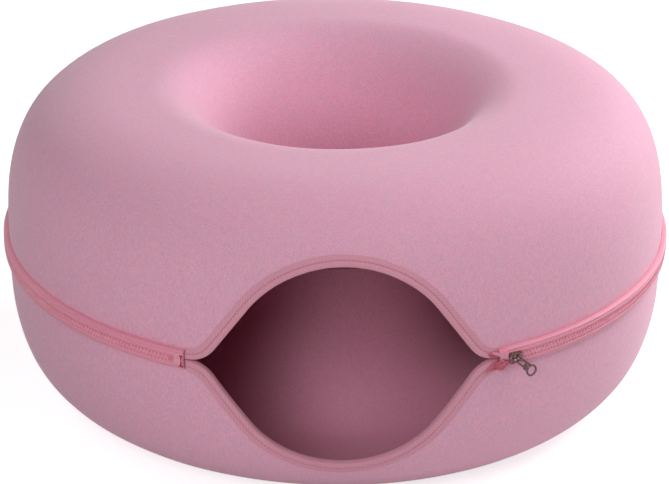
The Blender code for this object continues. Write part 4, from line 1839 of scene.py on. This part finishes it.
@dataclass(frozen=True)
class Studio:
    """The pale floor, the soft boxes, the surroundings and the camera."""

    target: Vector
    elevation: float = 0.428
    distance: float = 2.3795
    focal: float = 2603.3
    middle: tuple[float, float] = (335.2, 223.95)
    roll: float = 0.0067
    picture: tuple[int, int] = (669, 484)
    sensor: float = 36.0
    floor_size: float = 14.0
    floor_grey: Colour = (0.86, 0.86, 0.86, 1.0)
    floor_glow: float = 0.7
    surroundings: float = 0.04
    far_clip: float = 50.0
    lamps: tuple[Lamp, ...] = (
        Lamp("key", 90, 48, 12.4),
        Lamp("right_edge", 130, 18, 14.0),
        Lamp("right_low", 90, 18, 3.0),
        Lamp("front_top", 0, 48, 0.7),
        Lamp("front_low", -18, 28, 10.2),
        Lamp("left_front", -45, 48, 0.4),
        Lamp("left_top", -90, 48, 1.8),
        Lamp("left_back", -130, 18, 2.4),
        Lamp("back_top", 135, 48, 4.6),
    )

    def hang_lamps(self) -> None:
        """Place the soft boxes."""
        for lamp in self.lamps:
            turn, lift = math.radians(lamp.azimuth), math.radians(lamp.elevation)
            flat = Vector((math.sin(turn), -math.cos(turn), 0)) * math.cos(lift)
            aim = flat + Vector((0, 0, math.sin(lift)))
            light = bpy.data.lights.new(lamp.name, "AREA")
            light.shape = "DISK"
            light.size = lamp.size
            light.energy = lamp.power
            thing = linked(lamp.name, light)
            thing.location = self.target + aim * lamp.distance
            thing.rotation_euler = aim.to_track_quat("Z", "Y").to_euler()

    def surround(self) -> None:
        """Light the scene evenly and show white behind it."""
        world = bpy.data.worlds.new("surroundings")
        bpy.context.scene.world = world
        world.use_nodes = True
        tree = world.node_tree
        background = tree.nodes["Background"]
        rays = tree.nodes.new("ShaderNodeLightPath").outputs
        seen = Wire(tree, rays["Is Camera Ray"]).maths("MAXIMUM", Wire(tree, rays["Is Glossy Ray"]))
        seen = seen.maths("MAXIMUM", Wire(tree, rays["Is Transmission Ray"]))
        background.inputs["Color"].default_value = WHITE
        feed(tree, background.inputs["Strength"], seen * (1 - self.surroundings) + self.surroundings)

    def lay_floor(self) -> None:
        """Lay the pale floor, which keeps the object's shadow."""
        mesh = bmesh.new()
        bmesh.ops.create_grid(mesh, x_segments=4, y_segments=4, size=self.floor_size / 2)
        data = as_data("floor", mesh)
        dye = Dye("pale_floor", {
            "Base Color": self.floor_grey, "Roughness": 0.9, "Specular IOR Level": 0.1})
        seen = dye.node("ShaderNodeLightPath", output="Is Camera Ray")
        glow = dye.node("ShaderNodeEmission", sockets={"Color": WHITE, "Strength": seen * self.floor_glow})
        both = dye.node("ShaderNodeAddShader", sockets={0: Wire(dye.tree, dye.shader.outputs[0]), 1: glow})
        dye.tree.links.new(both.socket, dye.tree.nodes["Material Output"].inputs["Surface"])
        data.materials.append(dye.material)
        floor = linked("floor", data)

    def aim_camera(self) -> None:
        """Set the camera at the photograph's angle."""
        width, height = self.picture
        data = bpy.data.cameras.new("camera")
        data.sensor_width = self.sensor
        data.lens = self.focal * self.sensor / width
        data.shift_x = (width / 2 - self.middle[0]) / width
        data.shift_y = (self.middle[1] - height / 2) / width
        data.clip_end = self.far_clip
        camera = linked("camera", data)
        back = Vector((0, -math.cos(self.elevation), math.sin(self.elevation)))
        camera.location = self.target + back * self.distance
        view = back.to_track_quat("Z", "Y").to_matrix().to_4x4() @ Matrix.Rotation(self.roll, 4, "Z")
        camera.rotation_euler = view.to_euler()
        bpy.context.scene.camera = camera

    def dress(self) -> None:
        """Set up the whole studio."""
        bpy.context.scene.view_settings.view_transform = "Standard"
        self.aim_camera()
        self.surround()
        self.lay_floor()
        self.hang_lamps()


def make_finishes(stitched_across: float, sewn_across: float) -> Finishes:
    """Make each finish once.

    Args:
        stitched_across: Where the binding is stitched, across it.
        sewn_across: Where the zip's upper tape is sewn down, across it.

    Returns:
        The finishes.
    """
    seam = SewingThread("seam_thread", tone(232, 142, 166), tone(206, 108, 134))
    tack = SewingThread("tack_thread", tone(204, 80, 96), tone(146, 34, 52))
    darning = SewingThread("darning_thread", tone(214, 92, 110), tone(176, 62, 80))
    return Finishes(Felt().make(), Twill().make(stitched_across), RibbedTape().make(sewn_across),
                    Moulding().make(), seam.make(), tack.make(), darning.make(), DarkPlate().make())


def main() -> None:
    """Build every piece in order and set up the studio."""
    logging.basicConfig(level=logging.INFO, format="%(message)s")
    donut = Donut.measured()
    edges = {Half.TOP: EntranceEdge(height=0.093), Half.BOTTOM: EntranceEdge(height=0.089)}
    corner = edges[Half.TOP].half_width / donut.radius
    outer = ZipRun("outer_zip", donut, donut.radius, 1, donut.entrance_turn + corner,
                   donut.entrance_turn - corner + 2 * math.pi)
    inner_end = INNER_ZIP_GAP / donut.waist_radius
    inner = ZipRun("inner_zip", donut, donut.waist_radius, -1, inner_end, 2 * math.pi - inner_end)
    finishes = make_finishes(EntranceBinding.stitched_across, ZipFastener(outer).sewn_across())
    for half, edge in edges.items():
        FeltShell(donut, half, edge).dress(finishes)
        EntranceBinding(donut, half, edge).dress(finishes)
    for run in (outer, inner):
        ZipFastener(run, folded_end=run is outer).dress(finishes)
    ZipSlider(outer, "outer").dress(finishes)
    ZipSlider(inner, "inner").dress(finishes)
    CornerThreads(donut, outer, edges).dress(finishes)
    Studio(donut.centre).dress()


if __name__ == "__main__":
    main()
